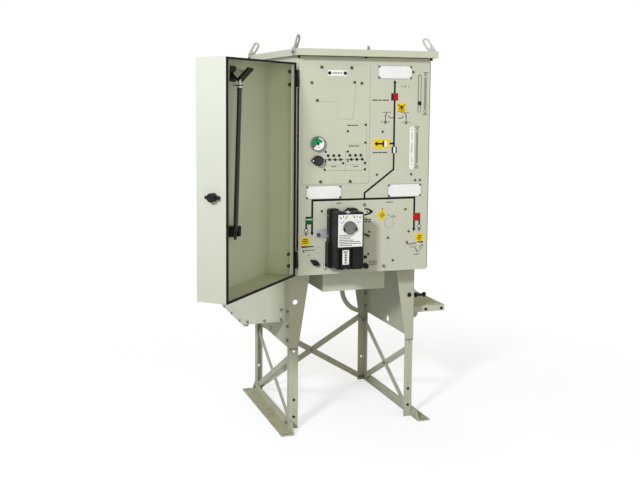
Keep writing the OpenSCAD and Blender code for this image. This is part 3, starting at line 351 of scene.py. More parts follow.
def pick_faces(piece, wanted):
    """Opens a piece in edit mode with only the wanted faces selected."""
    choose(piece)
    bpy.ops.object.mode_set(mode="EDIT")
    bpy.ops.mesh.select_mode(type="FACE")
    bpy.ops.mesh.select_all(action="DESELECT")
    bpy.ops.object.mode_set(mode="OBJECT")
    for face in piece.data.polygons:
        face.select = wanted(face)
    bpy.ops.object.mode_set(mode="EDIT")


def merged(parts):
    """Joins parts into the first of them."""
    bpy.ops.object.select_all(action="DESELECT")
    for part in parts:
        part.select_set(True)
    bpy.context.view_layer.objects.active = parts[0]
    if len(parts) > 1:
        bpy.ops.object.join()
    return bpy.context.object


def fitted(name, parts, finish, body):
    """Joins parts into one named piece with its finish, smooth where it is round, riding on a body."""
    piece = merged(parts)
    piece.name = name
    piece.data.name = name
    piece.data.materials.clear()
    piece.data.materials.append(finish)
    bpy.ops.object.transform_apply(location=True, rotation=True, scale=True)
    bpy.ops.object.shade_smooth_by_angle(angle=math.radians(35))
    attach(piece, body)
    return piece


def turned(radius, height, steps, flats):
    """A round or flat sided head on the origin along +Z; each step insets its top face, then lifts it."""
    bpy.ops.object.select_all(action="DESELECT")
    bpy.ops.mesh.primitive_cylinder_add(
        vertices=flats, radius=radius, depth=height, location=(0, 0, height / 2)
    )
    bpy.ops.object.transform_apply(location=True, rotation=False, scale=False)
    head = bpy.context.object
    pick_faces(head, lambda face: face.normal.z > 0.9)
    for inset, lift in steps:
        bpy.ops.mesh.inset(thickness=inset)
        bpy.ops.transform.translate(value=(0, 0, lift))
    bpy.ops.object.mode_set(mode="OBJECT")
    return head


def hexagon_bolt(across, height):
    """A hexagon head with a chamfered crown on a round washer."""
    washer_t = across * 0.14
    washer = turned(across * 0.68, washer_t * 0.7, [(across * 0.05, washer_t * 0.3)], 20)
    head = turned(across / math.sqrt(3), height, [(across * 0.1, across * 0.06)], 6)
    head.data.transform(Matrix.Translation((0, 0, washer_t)))
    return merged([washer, head])


def domed_screw(radius):
    """A domed head with a round drive recess."""
    dome = [(radius * 0.16, radius * 0.2), (radius * 0.24, radius * 0.12), (radius * 0.22, radius * 0.03)]
    recess = [(radius * 0.04, -radius * 0.24)]
    return turned(radius, radius * 0.3, dome + recess, 16)


def set_out(first, places, spin=0):
    """Copies a fastener to each place and direction, each copy with its own mesh."""
    copies = []
    for count, (place, direction) in enumerate(places):
        part = first.copy()
        part.data = first.data.copy()
        bpy.context.collection.objects.link(part)
        aim = Vector((0, 0, 1)).rotation_difference(Vector(direction)).to_matrix().to_4x4()
        own_turn = Matrix.Rotation(math.radians(spin * count), 4, "Z")
        part.data.transform(Matrix.Translation(Vector(place)) @ aim @ own_turn)
        copies.append(part)
    bpy.data.objects.remove(first)
    return copies


zinc = metal("zinc_plating", shade(148, 150, 138), 0.5, 0.35)
frame_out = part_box("right_side_frame")[1].x
leg_in = frame_out - 7 * mm
base_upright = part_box("right_base_angle")[0].x + 5 * mm
brace_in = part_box("right_inner_brace")[0].x
rear_brace_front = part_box("rear_inner_brace")[0].y
front_bolt_y = -242 * mm
rear_bolt_y = 295 * mm
frame_levels = (395, 457, 522)
foot_level = 26
brace_top = 318
crossing_level = 172
rear_brace_spots = ((-261, 338), (261, 338), (-261, foot_level), (261, foot_level), (0, 182))
bolt_heads = []
bolt_nuts = []
for side in (-1, 1):
    for bolt_y in (front_bolt_y, rear_bolt_y):
        for level in frame_levels:
            bolt_heads.append(((side * frame_out, bolt_y, level * mm), (side, 0, 0)))
            bolt_nuts.append(((side * leg_in, bolt_y, level * mm), (-side, 0, 0)))
        for level in (foot_level, brace_top):
            bolt_nuts.append(((side * brace_in, bolt_y, level * mm), (-side, 0, 0)))
    crossing_y = (front_bolt_y + rear_bolt_y) / 2
    bolt_nuts.append(((side * brace_in, crossing_y, crossing_level * mm), (-side, 0, 0)))
    for bolt_y in (front_bolt_y, rear_bolt_y):
        bolt_heads.append(((side * base_upright, bolt_y, foot_level * mm), (side, 0, 0)))
for bolt_x, level in rear_brace_spots:
    bolt_nuts.append(((bolt_x * mm, rear_brace_front, level * mm), (0, -1, 0)))
stand_bolts = set_out(hexagon_bolt(12 * mm, 6 * mm), bolt_heads, 17)
stand_bolts += set_out(hexagon_bolt(11 * mm, 6 * mm), bolt_nuts, 23)
fitted("stand_bolts", stand_bolts, zinc, "cabinet")
black_steel = metal("black_steel", shade(44, 44, 42), 0.5, 0.3)
leg_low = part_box("front_left_leg")[0]
leg_hole_x = -leg_low.x - 19 * mm
leg_hole_levels = (56, 132)
leg_holes = []
for side in (-1, 1):
    for level in leg_hole_levels:
        leg_holes.append(((side * leg_hole_x, leg_low.y, level * mm), (0, -1, 0)))
flange_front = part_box("right_side_frame")[0].y
flange_hole = (270 * mm, flange_front, 567 * mm)
# Black round heads in the leg and flange holes; their black also stands for the shade inside the holes:
# painted shade.
round_bolts_and_hole_shade = set_out(domed_screw(5.8 * mm), leg_holes)
round_bolts_and_hole_shade += set_out(domed_screw(9 * mm), [(flange_hole, (0, -1, 0))])
fitted("round_bolts_and_hole_shade", round_bolts_and_hole_shade, black_steel, "cabinet")

# Painted shadow: thin dark strips under the foot of each side frame, where it laps its leg, and a thin dark
# fill in each anchor slot. They stand for the shadow gap at each lap and the shade under the slots.


def moulded(name, colour, rough, grain):
    """Moulded plastic or rubber: even colour with faint clouds, fine grain, edges paler as rubbed wear and
    painted highlight.
    """
    finish, tools, links, shader, place = new_finish(name)
    clouds = cloudy(tools, links, place, 24, 4)
    shares = ranged(tools, links, clouds, (0.3, 0.7), (0, 1))
    tone = layered(tools, links, shares, scaled(colour, 0.78), scaled(colour, 1.15))
    normal, turn = soft_edges(tools, links, 0.0012)
    # Edges painted paler: partly rubbed wear, partly a painted highlight.
    rubbed_and_highlit = scaled(colour, 1.9)
    tone = layered(tools, links, ranged(tools, links, turn, (0.98, 0.75), (0, 0.6)), tone, rubbed_and_highlit)
    links.new(tone, shader.inputs["Base Color"])
    gloss = ranged(tools, links, clouds, (0.3, 0.7), (rough - 0.06, rough + 0.08))
    links.new(gloss, shader.inputs["Roughness"])
    shader.inputs["Specular IOR Level"].default_value = 0.2
    grained(tools, links, shader, cloudy(tools, links, place, grain, 3), normal, 0.16, 0.0003)
    return finish


def rounded_block(low, high, edge):
    """A block between two corners, in millimetres, with its edges rounded."""
    bpy.ops.object.select_all(action="DESELECT")
    size = [top - bottom for bottom, top in zip(low, high)]
    middle = [(top + bottom) / 2 * mm for bottom, top in zip(low, high)]
    bpy.ops.mesh.primitive_cube_add(size=mm, location=middle)
    block = bpy.context.object
    block.scale = size
    bpy.ops.object.transform_apply(location=True, rotation=True, scale=True)
    bpy.ops.object.mode_set(mode="EDIT")
    bpy.ops.mesh.select_all(action="SELECT")
    bpy.ops.mesh.bevel(offset=edge * mm, segments=2, affect="EDGES")
    bpy.ops.object.mode_set(mode="OBJECT")
    return block


# Painted shadow: a dark matt finish for the lap strips and slot fills.
painted_shadow_finish = moulded("painted_shadow_dark", shade(66, 64, 50), 0.8, 900)
lap_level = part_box("left_side_frame")[0].z / mm
front_leg_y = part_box("front_left_leg")[0].y / mm
rear_leg_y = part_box("rear_left_leg")[1].y / mm
shadow_strips = []
for side in (-1, 1):
    inner, outer = sorted((side * 257, side * 294))
    for low_y, high_y in ((front_leg_y - 2, front_leg_y - 0.1), (rear_leg_y + 0.1, rear_leg_y + 2)):
        low_corner = (inner, low_y, lap_level - 3)
        high_corner = (outer, high_y, lap_level - 0.1)
        shadow_strips.append(rounded_block(low_corner, high_corner, 0.4))
    slot_left, slot_right = sorted((side * 312, side * 335))
    for low_y, high_y in ((-325.5, -314.5), (314.5, 325.5)):
        shadow_strips.append(rounded_block((slot_left, low_y, 0.3), (slot_right, high_y, 1.5), 0.3))
fitted("stand_painted_shadows", shadow_strips, painted_shadow_finish, "cabinet")

# The cabinet: a closed sheet steel housing with a folded front panel, a roof tray and a drive box below.
# It is welded, then powder painted in one pale grey green; hexagon screws hold the panel's side folds.
cabinet_paint = painted_steel("cabinet_paint", shade(206, 208, 190), 0.8, 0.42)
give(cabinet_paint, "cabinet_body", "front_panel", "under_box", "roof")
dark_steel = metal("dark_steel", shade(96, 97, 86), 0.5, 0.4)
panel_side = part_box("front_panel")[1].x
fold_y = -372 * mm
fold_levels = (1501, 1261, 1027, 800)
left_fold_rise = 30
fold_places = []
for level in fold_levels:
    fold_places.append(((panel_side, fold_y, level * mm), (1, 0, 0)))
    fold_places.append(((-panel_side, fold_y, (level + left_fold_rise) * mm), (-1, 0, 0)))
fold_bolts = set_out(hexagon_bolt(9 * mm, 4 * mm), fold_places, 11)
fitted("panel_fold_bolts", fold_bolts, dark_steel, "cabinet")

# Under the roof's front: a small black striker block in the middle; the black blocks at both corners are
# painted shadow for the dark gaps there. The striker is moulded, and screwed up under the tray to stop the
# door from rattling.
rubber = moulded("black_rubber", shade(9, 9, 10), 0.7, 700)
roof_striker_and_shadow_blocks = [
    rounded_block((-8, -391, 1615), (2, -384.5, 1620.5), 1.2),
    # The two corner blocks are painted shadow, dark for the gaps under the roof's corners.
    rounded_block((295.5, -394, 1610), (302, -378, 1620.5), 1.5),
    rounded_block((-302, -394, 1610), (-295.5, -378, 1620.5), 1.5),
]
fitted("roof_striker_and_shadow_blocks", roof_striker_and_shadow_blocks, rubber, "cabinet")

# Lifting lugs: four galvanised links, twisted and leaning in over the roof, each held by two bolts
# through the side of the roof tray.
galvanised = metal("galvanised_steel", shade(178, 180, 168), 0.5, 0.2)
give(galvanised, "lifting_lugs")
lug_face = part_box("roof")[1].x + 6 * mm
lug_middles = (-371, 338)
lug_bolt_offset = 8
lug_bolt_z = 1635 * mm
lug_places = []
for side in (-1, 1):
    for lug_y in lug_middles:
        for offset in (-lug_bolt_offset, lug_bolt_offset):
            lug_places.append(((side * lug_face, (lug_y + offset) * mm, lug_bolt_z), (side, 0, 0)))
lug_bolts = set_out(domed_screw(4.5 * mm), lug_places)
fitted("lug_bolts", lug_bolts, dark_steel, "cabinet")

# Cable entries: a folded gland plate on each side, with the left one under a closed cable box.
# The sheets are painted like the cabinet, and small bolts hold their folds and the box.
give(cabinet_paint, "left_gland_plate", "right_gland_plate", "left_cable_box", "gland_stub", "rear_conduit")
give(galvanised, "drain_plug", "earth_boss")
give(black_steel, "earth_stud")
box_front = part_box("left_cable_box")[0].y
box_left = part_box("left_cable_box")[0].x
fold_low = 477
box_high = 1000
box_front_spots = [(-465, fold_low), (-388, fold_low), (-312, fold_low), (-312, 521)]
box_front_spots += [(-465, box_high), (-388, box_high)]
entry_places = []
for bolt_x, level in box_front_spots:
    entry_places.append(((bolt_x * mm, box_front, level * mm), (0, -1, 0)))
for bolt_y in (-157, -11, 135):
    for level in (fold_low, box_high):
        entry_places.append(((box_left, bolt_y * mm, level * mm), (-1, 0, 0)))
gland_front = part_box("right_gland_plate")[0].y
gland_places = [((bolt_x * mm, gland_front, fold_low * mm), (0, -1, 0)) for bolt_x in (389, 469)]
gland_bolts = set_out(hexagon_bolt(10 * mm, 4 * mm), gland_places, 21)
fitted("gland_plate_bolts", gland_bolts, black_steel, "cabinet")
entry_bolts = set_out(hexagon_bolt(9 * mm, 4 * mm), entry_places, 19)
fitted("cable_entry_bolts", entry_bolts, zinc, "cabinet")

# Front panel bolts: small hexagon and domed heads that hold the mechanism behind the sheet.
# They are plated steel, the domed ones dulled, and each stands on the painted face.
panel_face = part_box("front_panel")[0].y


def on_panel(spots, face):
    """Places that look out of the panel from spots across it, in millimetres."""
    return [((x * mm, face, z * mm), (0, -1, 0)) for x, z in spots]


panel_hexagons = [(-1, 998), (92, 729)]
panel_domes = [(216, 1561), (78, 1308), (54, 1125), (214, 1124), (233, 1098), (256, 1098), (-193, 976)]
panel_domes += [(190, 973), (110, 851), (134, 751), (207, 875)]
panel_bolts = set_out(hexagon_bolt(11 * mm, 4 * mm), on_panel(panel_hexagons, panel_face), 29)
fitted("panel_bolts", panel_bolts, zinc, "cabinet")
dull_zinc = metal("dull_zinc", shade(92, 93, 86), 0.55, 0.3)
panel_screws = set_out(domed_screw(5.2 * mm), on_panel(panel_domes, panel_face))
fitted("panel_screws", panel_screws, dull_zinc, "cabinet")

# Label plates: three grey trays on the panel, each with a blank white card and a screw at each corner.
# The card is notched round the screws and slides out of its tray for writing.


def printed(name, colour, rough):
    """Printed laminate or ink: flat colour, faintly cloudy, with a fine speckle."""
    finish, tools, links, shader, place = new_finish(name)
    clouds = ranged(tools, links, cloudy(tools, links, place, 18, 4), (0.3, 0.7), (0, 1))
    tone = layered(tools, links, clouds, scaled(colour, 0.93), colour)
    speckle = ranged(tools, links, cloudy(tools, links, place, 900, 2), (0.62, 0.75), (0, 0.3))
    tone = layered(tools, links, speckle, tone, scaled(colour, 0.7))
    links.new(tone, shader.inputs["Base Color"])
    shader.inputs["Roughness"].default_value = rough
    shader.inputs["Specular IOR Level"].default_value = 0.12
    grained(tools, links, shader, cloudy(tools, links, place, 350, 2), None, 0.05, 0.0002)
    return finish


def arc(x, z, radius, start, end, steps):
    """Points along an arc, in degrees from the right, counted against the clock."""
    turns = [math.radians(start + (end - start) * i / steps) for i in range(steps + 1)]
    return [(x + radius * math.cos(turn), z + radius * math.sin(turn)) for turn in turns]


def notched_card(x, z, width, height, notch):
    """A card outline with a round notch in each corner."""
    left, right, low, high = x - width / 2, x + width / 2, z - height / 2, z + height / 2
    outline = arc(left, low, notch, 90, 0, 4)
    outline += arc(right, low, notch, 180, 90, 4)
    outline += arc(right, high, notch, 270, 180, 4)
    outline += arc(left, high, notch, 360, 270, 4)
    return outline


def flat_shapes(outlines, face, lift):
    """Flat shapes on a face that looks along -Y, each from its outline in millimetres, raised together."""
    bpy.ops.object.select_all(action="DESELECT")
    bpy.ops.mesh.primitive_circle_add(vertices=len(outlines[0]), fill_type="NGON")
    sheet = bpy.context.object
    bpy.ops.object.mode_set(mode="EDIT")
    for outline in outlines[1:]:
        bpy.ops.mesh.primitive_circle_add(vertices=len(outline), fill_type="NGON")
    bpy.ops.object.mode_set(mode="OBJECT")
    spots = [spot for outline in outlines for spot in outline]
    for corner, (x, z) in zip(sheet.data.vertices, spots):
        corner.co = (x * mm, face, z * mm)
    bpy.ops.object.mode_set(mode="EDIT")
    bpy.ops.mesh.select_all(action="SELECT")
    bpy.ops.mesh.extrude_region_move(TRANSFORM_OT_translate={"value": (0, -lift * mm, 0)})
    bpy.ops.mesh.select_all(action="SELECT")
    bpy.ops.mesh.normals_make_consistent(inside=False)
    bpy.ops.object.mode_set(mode="OBJECT")
    return sheet


def laid(name, outlines, face, lift, finish, body):
    """Flat shapes laid on a face as one named piece with its finish, riding on a body."""
    return fitted(name, [flat_shapes(outlines, face, lift)], finish, body)


tray_grey = metal("label_tray", shade(158, 160, 154), 0.45, 0.2)
give(tray_grey, "label_plates")
white_card = printed("white_card", shade(250, 250, 250), 0.35)
plate_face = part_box("label_plates")[0].y
plate_w = 157
plate_h = 56
card_edge = 4
card_notch = 9
card_lift = 0.5
screw_in = 6
plate_middles = [(-184.5, 1055), (184.5, 1055), (131.5, 1559)]
cards = []
for x, z in plate_middles:
    cards.append(notched_card(x, z, plate_w - card_edge, plate_h - card_edge, card_notch))
laid("label_cards", cards, plate_face, card_lift, white_card, "cabinet")
card_screws = []
for x, z in plate_middles:
    for side in (-1, 1):
        for end in (-1, 1):
            card_screws.append((x + side * (plate_w / 2 - screw_in), z + end * (plate_h / 2 - screw_in)))
label_screws = set_out(domed_screw(3.8 * mm), on_panel(card_screws, plate_face))
fitted("label_screws", label_screws, dark_steel, "cabinet")

# Mimic diagram: the circuit printed on the panel as bold black lines, arrows and switch marks.
# It is screen ink, a hair thick on the paint.
black_ink = printed("black_ink", shade(24, 23, 18), 0.55)
ink_lift = 0.3


def stroke(points, width):
    """The outline of a drawn line of even width, mitred at its bends."""
    left = []
    right = []
    last = len(points) - 1
    for i, point in enumerate(points):
        here = Vector(point)
        coming = (here - Vector(points[max(i - 1, 0)])).normalized()
        going = (Vector(points[min(i + 1, last)]) - here).normalized()
        along = (coming + going).normalized()
        reach = width / 2 / max(along.dot(coming if i else going), 0.4)
        across = Vector((-along.y, along.x)) * reach
        left.append(tuple(here + across))
        right.append(tuple(here - across))
    return left + right[::-1]


def bar(left, right, low, high):
    """A plain rectangle."""
    return [(left, low), (right, low), (right, high), (left, high)]


def disc(x, z, radius, steps=16):
    """A round dot."""
    return arc(x, z, radius, 0, 360 - 360 / steps, steps - 1)


line_w = 8
mimic = [
    stroke([(131, 1515), (131, 1466)], line_w),
    stroke([(131, 1444), (131, 1238)], line_w),
    stroke([(131, 1220), (131, 1146), (-1, 1048), (-1, 1025)], line_w),
    stroke([(131, 1257), (104, 1257)], line_w),
    stroke([(-235, 886), (-235, 1022), (232, 1022), (232, 886)], line_w + 0.6),
    stroke([(-261, 926), (-261, 903)], line_w - 0.8),
    stroke([(257, 926), (257, 903)], line_w - 0.8),
    [(131, 1527), (122.5, 1513), (139.5, 1513)],
    [(-235, 873), (-227, 887), (-243, 887)],
    [(232, 873), (240, 887), (224, 887)],
]
symbol_middles = (-261, 257)
symbol_z = 897
for symbol_x in symbol_middles:
    mimic.append(disc(symbol_x, symbol_z, 8.5))
    mimic.append(bar(symbol_x - 9, symbol_x + 9, 884, 887))
    mimic.append(bar(symbol_x - 6, symbol_x + 6, 879, 882))
    mimic.append(bar(symbol_x - 3, symbol_x + 3, 874, 877))
mimic.append([(-281, 823), (-281, 830.5), (-226, 829), (-226, 826)])
mimic.append([(246, 826), (276, 822), (276, 829), (252, 829)])
crescent = [(0, 983), (12, 982), (24, 978.5), (33, 973.5), (40, 967)]
crescent += [(33, 960.5), (24, 955.5), (12, 952), (0, 951)]
crescent += [(0, 958), (10, 959), (17, 961), (23, 964), (25, 967)]
crescent += [(23, 970), (17, 973.5), (10, 975.5), (0, 976.5)]
mimic.append(crescent)
mimic.append(bar(10, 18, 963.5, 969.5))
mimic += [bar(1, 19, 932, 936.5), bar(22, 30, 932, 936.5)]
mimic += [bar(1, 12, 922, 926.5), bar(15, 30, 922, 926.5)]
laid("mimic_diagram", mimic, panel_face, ink_lift, black_ink, "cabinet")

# Switch windows: four small framed windows on the mimic lines that show a red, green or white flag.
# Each is a snap-in plastic frame with a coloured blade behind it.
window_black = moulded("window_frame", shade(32, 30, 28), 0.4, 500)
flag_red = printed("red_flag", shade(196, 32, 26), 0.3)
flag_green = printed("green_flag", shade(18, 92, 52), 0.3)
flag_pale_green = printed("pale_green_flag", shade(168, 216, 186), 0.3)
flag_white = printed("white_flag", shade(244, 244, 244), 0.3)
frames = [bar(115, 147, 1440, 1470.5), bar(-264.5, -232, 921.5, 954), bar(229, 261, 921, 954.5)]
frames += [bar(121, 128.5, 1215.5, 1242.5), bar(138, 144, 1215.5, 1242.5), bar(78.5, 86, 1243.5, 1269)]
window_lift = 0.9
flag_lift = 0.3
laid("switch_windows", frames, panel_face, window_lift, window_black, "cabinet")
flag_face = panel_face - window_lift * mm
reds = [bar(125.5, 132, 1442, 1469), bar(134, 145.5, 1442, 1469)]
reds += [bar(230.5, 259.5, 923, 953)]
laid("red_flags", reds, flag_face, flag_lift, flag_red, "cabinet")
laid("green_flag", [bar(-263, -233.5, 923, 937)], flag_face, flag_lift, flag_green, "cabinet")
pale_bars = [bar(-263, -233.5, 939, 945.5)]
laid("pale_green_flag", pale_bars, flag_face, flag_lift, flag_pale_green, "cabinet")
whites = [bar(128.5, 138, 1216, 1242), bar(86, 99, 1243.5, 1269)]
whites += [disc(symbol_x, symbol_z, 5.2) for symbol_x in symbol_middles]
laid("white_flags", whites, panel_face, 1.0, flag_white, "cabinet")

# Yellow tabs: plain printed tabs beside the switch windows, with arrows and small print as thin bars.
# They are stuck on the paint; the one by the test point is turned and cut round its cover.
yellow_card = printed("yellow_card", shade(246, 212, 36), 0.4)
dark_print = printed("dark_print", shade(70, 56, 20), 0.5)
tab_lift = 0.5
tab_face = panel_face - tab_lift * mm
print_lift = 0.15


def turned_outline(outline, x, z, angle):
    """An outline turned about a point, in degrees against the clock."""
    turn = math.radians(angle)
    away = [(px - x, pz - z) for px, pz in outline]
    return [
        (x + px * math.cos(turn) - pz * math.sin(turn), z + px * math.sin(turn) + pz * math.cos(turn))
        for px, pz in away
    ]


tab_corners = [(98, 969), (63, 969), (63, 932), (88, 932)]
bite = arc(99, 932, 13, 180, 90, 6)
tab_turn = (81, 951, 38)
turned_tab = turned_outline(tab_corners + bite, *tab_turn)
tabs = [bar(144, 182, 1390, 1431), bar(38, 111, 1236, 1277), bar(-283, -246, 832, 865)]
tabs += [bar(241, 278, 831, 863), turned_tab]
laid("yellow_tabs", tabs, panel_face, tab_lift, yellow_card, "cabinet")
tab_marks = [
    stroke([(148, 1424), (157, 1414), (163, 1418), (170, 1412), (178, 1424)], 4),
    stroke([(151, 1404), (163, 1411), (176, 1403)], 4),
    stroke([(163, 1416), (163, 1399)], 4.5),
    bar(149, 178, 1394, 1397),
]
for low, left, right in ((857, -276, -254), (849, -279, -250), (841, -276, -253)):
    tab_marks.append(bar(left, right, low, low + 4))
for low, left, right in ((853, 252, 268), (845, 247, 271), (837, 250, 266)):
    tab_marks.append(bar(left, right, low, low + 4))
for shift in (-7, 0, 7):
    tab_marks.append(turned_outline(bar(70, 92, 949 + shift, 952 + shift), *tab_turn))
laid("tab_print", tab_marks, tab_face, print_lift, dark_print, "cabinet")
arrow = [stroke([(79, 1256.5), (52, 1256.5)], 7.5), [(41, 1256.5), (55, 1245.5), (55, 1267.5)]]
laid("tab_arrow", arrow, tab_face, print_lift, black_ink, "cabinet")
red_tip = [(78, 974.5), (88, 974.5), (83, 982)]
laid("tab_tip", [red_tip], panel_face, tab_lift, flag_red, "cabinet")

# Grey print: captions as thin bars, handle pictograms and scale bars in grey screen ink on the paint.
# White strip: the blank scale card beside the lower bar, with faint marks.
grey_ink = printed("grey_ink", shade(122, 124, 110), 0.55)
deep_grey_ink = printed("deep_grey_ink", shade(74, 75, 66), 0.55)


def greeked(x, z, width, height, words):
    """Thin bars that stand for a line of small print, one bar a word."""
    space = height * 0.55
    unit = (width - space * (len(words) - 1)) / sum(words)
    bars = []
    left = x - width / 2
    for word in words:
        bars.append(bar(left, left + word * unit, z - height / 2, z + height / 2))
        left += word * unit + space
    return bars


def handle_pictogram(x, z, way):
    """A plain sign for working a handle: bar on a stem, round foot with two dots, curved arrow."""
    sign = [stroke([(x - 22 * way, z + 22), (x + 18 * way, z + 22)], 3)]
    sign.append(stroke([(x - 10 * way, z + 4), (x - 2 * way, z + 19)], 5))
    sign.append(stroke([(x - 8 * way, z + 8), (x - 8 * way, z - 12)], 4))
    sign.append(stroke([(x + p[0] * way, z + p[1]) for p in arc(20, 14, 16, 200, 300, 8)], 4.5))
    sign.append(disc(x - 8 * way, z - 20, 7.5))
    sign.append(disc(x - 24 * way, z - 19, 3.2))
    sign.append(disc(x + 8 * way, z - 19, 3.2))
    return sign


captions = greeked(67, 1441, 76, 4.6, (5, 3, 6))
captions += greeked(67, 1219, 66, 4.6, (4, 3, 4))
captions += greeked(-115, 1007, 24, 3.6, (3, 1))
captions += greeked(116, 1005, 30, 3.6, (4, 1))
for level, width in ((752, 38), (745, 40), (738, 34)):
    captions += greeked(43, level, width, 2.6, (3, 4, 2))
captions.append([(-3, 999), (3, 999), (0, 1004)])
test_x, test_z, test_r = 114, 915, 21
captions += [stroke(arc(test_x, test_z, test_r + 9, 45, 78, 6), 2.4)]
captions += [stroke(arc(test_x, test_z, test_r + 13, 84, 104, 4), 2.4)]
captions += [stroke(arc(test_x, test_z, test_r + 17, 40, 62, 5), 3)]
laid("panel_captions", captions, panel_face, ink_lift, deep_grey_ink, "cabinet")
signs = handle_pictogram(98, 1368, 1) + handle_pictogram(178, 1366, -1)
signs += [bar(162, 166, 1497, 1502), bar(176, 182, 1496, 1503), bar(193, 197, 1497, 1502)]
for bar_x, level, way in ((274, 1552, 1), (274, 1388, -1), (239, 1320, 1), (239, 1158, -1)):
    signs.append(stroke([(bar_x - 8, level - 7 * way), (bar_x + 8, level + 7 * way)], 2.6))
    signs.append(stroke([(bar_x - 8, level + 7 * way), (bar_x + 8, level - 7 * way)], 2.6))
    signs.append(bar(bar_x - 11, bar_x + 11, level + 8 * way - 1.5, level + 8 * way + 1.5))
signs += greeked(-252, 812, 52, 5, (2, 3, 2, 2)) + [disc(-271, 806, 4), disc(-249, 792, 3.5)]
signs += [stroke(arc(-207, 812, 13, 20, 330, 20), 1.2)]
signs += [stroke([(197, 826), (205, 819), (245, 823)], 5), stroke([(214, 812), (228, 803), (244, 811)], 3)]
signs += [disc(200, 828, 6), stroke([(240, 803), (250, 782)], 5), bar(234, 260, 771, 775)]
signs += [stroke([(254, 785), (274, 803)], 3), disc(272, 811, 5), disc(262, 806, 3.5)]
laid("panel_signs", signs, panel_face, ink_lift, grey_ink, "cabinet")
pale_ink = printed("pale_ink", shade(152, 154, 140), 0.55)
pale_print = [bar(268, 280, 1398, 1540), bar(233.5, 244.5, 1170, 1308)]
pale_print += [stroke(arc(test_x, test_z, test_r, 95, 395, 32), 1.4)]
laid("scale_bars", pale_print, panel_face, ink_lift, pale_ink, "cabinet")
strip = arc(215, 1318, 11, 0, 180, 10) + arc(215, 1155, 11, 180, 360, 10)
laid("scale_strip", [strip], panel_face, card_lift, white_card, "cabinet")
strip_marks = [disc(215, 1316, 2), bar(213.6, 216.4, 1276, 1304), bar(213.6, 216.4, 1216, 1258)]
strip_marks += [bar(213.8, 216.2, 1178, 1198), disc(215, 1164, 1.6)]
laid("strip_marks", strip_marks, panel_face - card_lift * mm, print_lift, grey_ink, "cabinet")

# Instrument cover: a flat painted cover sheet with a smaller fixed flap, hung on hexagon bolts.
# Black domed screws hold clear windows over the test points, marked with thin lines and captions.
give(cabinet_paint, "instrument_cover")
cover_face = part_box("instrument_cover")[0].y
flap = [(-201, 1522), (-206, 1458), (-211, 1434), (-136, 1432), (-130, 1426), (-126, 1362), (-61, 1361)]
flap += [(-55, 1420), (-47, 1522)]
laid("instrument_flap", [flap], cover_face, 1.6, cabinet_paint, "cabinet")
cover_hexagons = [(-199, 1575), (-67, 1575), (-200, 1100), (-68, 1099)]
cover_domes = [(-242, 1511), (-54, 1514), (-21, 1511), (-218, 1438)]
cover_bolts = set_out(hexagon_bolt(10 * mm, 3.4 * mm), on_panel(cover_hexagons, cover_face), 25)
cover_bolts += set_out(domed_screw(6.2 * mm), on_panel(cover_domes, cover_face))
fitted("cover_bolts", cover_bolts, dark_steel, "cabinet")
black_plastic = moulded("black_plastic", shade(22, 22, 24), 0.42, 420)
window_spots = [(-1, 1337), (-81, 1310), (-1, 1262), (-179, 1225), (-80, 1225), (-101, 1176), (-2, 1176)]
window_spots += [(-183, 1150), (-2, 1149)]
window_screws = set_out(domed_screw(4.8 * mm), on_panel(window_spots, cover_face))
fitted("window_screws", window_screws, black_plastic, "cabinet")
window_lines = [stroke([(-174, 1145), (-8, 1145)], 1.2), stroke([(-186, 1169), (-110, 1169)], 0.9)]
window_lines += [stroke([(-92, 1169), (-8, 1169)], 0.9), stroke([(4, 1350), (4, 1142)], 0.8)]
window_lines += [stroke([(-86, 1256), (-8, 1256)], 0.8), stroke([(-90, 1230), (-90, 1140)], 0.8)]
laid("window_lines", window_lines, cover_face, 0.2, grey_ink, "cabinet")
window_print = greeked(-60, 1335, 47, 4.4, (4, 2, 3)) + greeked(-53, 1248, 47, 4, (6, 5))
window_print += greeked(-143, 1162, 22, 3.4, (3, 2)) + greeked(-44, 1162, 22, 3.4, (2, 3))
window_print += [stroke([(-186, 1192), (-97, 1192)], 1.8), stroke([(-88, 1192), (-8, 1192)], 1.8)]
window_print += [bar(-181, -175, 1180, 1194), bar(-82, -76, 1180, 1194)]
laid("window_print", window_print, cover_face, 0.2, deep_grey_ink, "cabinet")
name_strip = bar(-172, -87, 1540, 1564)
strip_lift = 0.6
laid("name_strip", [name_strip], cover_face, strip_lift, white_card, "cabinet")
strip_face = cover_face - strip_lift * mm
strip_knobs = set_out(domed_screw(7 * mm), on_panel([(-165, 1552), (-96, 1552)], strip_face))
fitted("name_strip_rivets", strip_knobs, black_plastic, "cabinet")
strip_print = greeked(-131, 1552, 42, 5, (1, 3, 2, 2))
laid("name_strip_print", strip_print, strip_face, print_lift, grey_ink, "cabinet")

# Pressure gauge: a round pale case with a white dial, a green band, a red wedge and a black needle.
# The dial is printed sheet behind a plain rim, and the needle is pressed on its spindle.
gauge_rim = moulded("gauge_rim", shade(128, 133, 128), 0.35, 500)
give(gauge_rim, "pressure_gauge")
gauge_low, gauge_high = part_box("pressure_gauge")
gauge_x = (gauge_low.x + gauge_high.x) / 2 / mm
gauge_z = (gauge_low.z + gauge_high.z) / 2 / mm
dial_face = gauge_low.y + 3 * mm
dial_r = (gauge_high.x - gauge_low.x) / 2 / mm - 3.1
dial_lift = 0.3
dial = disc(gauge_x, gauge_z, dial_r, 48)
laid("gauge_dial", [dial], dial_face, dial_lift, white_card, "cabinet")
band_face = dial_face - dial_lift * mm
gauge_green = printed("gauge_green", shade(38, 150, 92), 0.35)
wide_band = [(gauge_x, gauge_z)] + arc(gauge_x, gauge_z, dial_r - 1, 82, 205, 20)
low_band = [(gauge_x, gauge_z)] + arc(gauge_x, gauge_z, dial_r - 6.5, 18, 82, 12)
laid("gauge_green_band", [wide_band, low_band], band_face, print_lift, gauge_green, "cabinet")
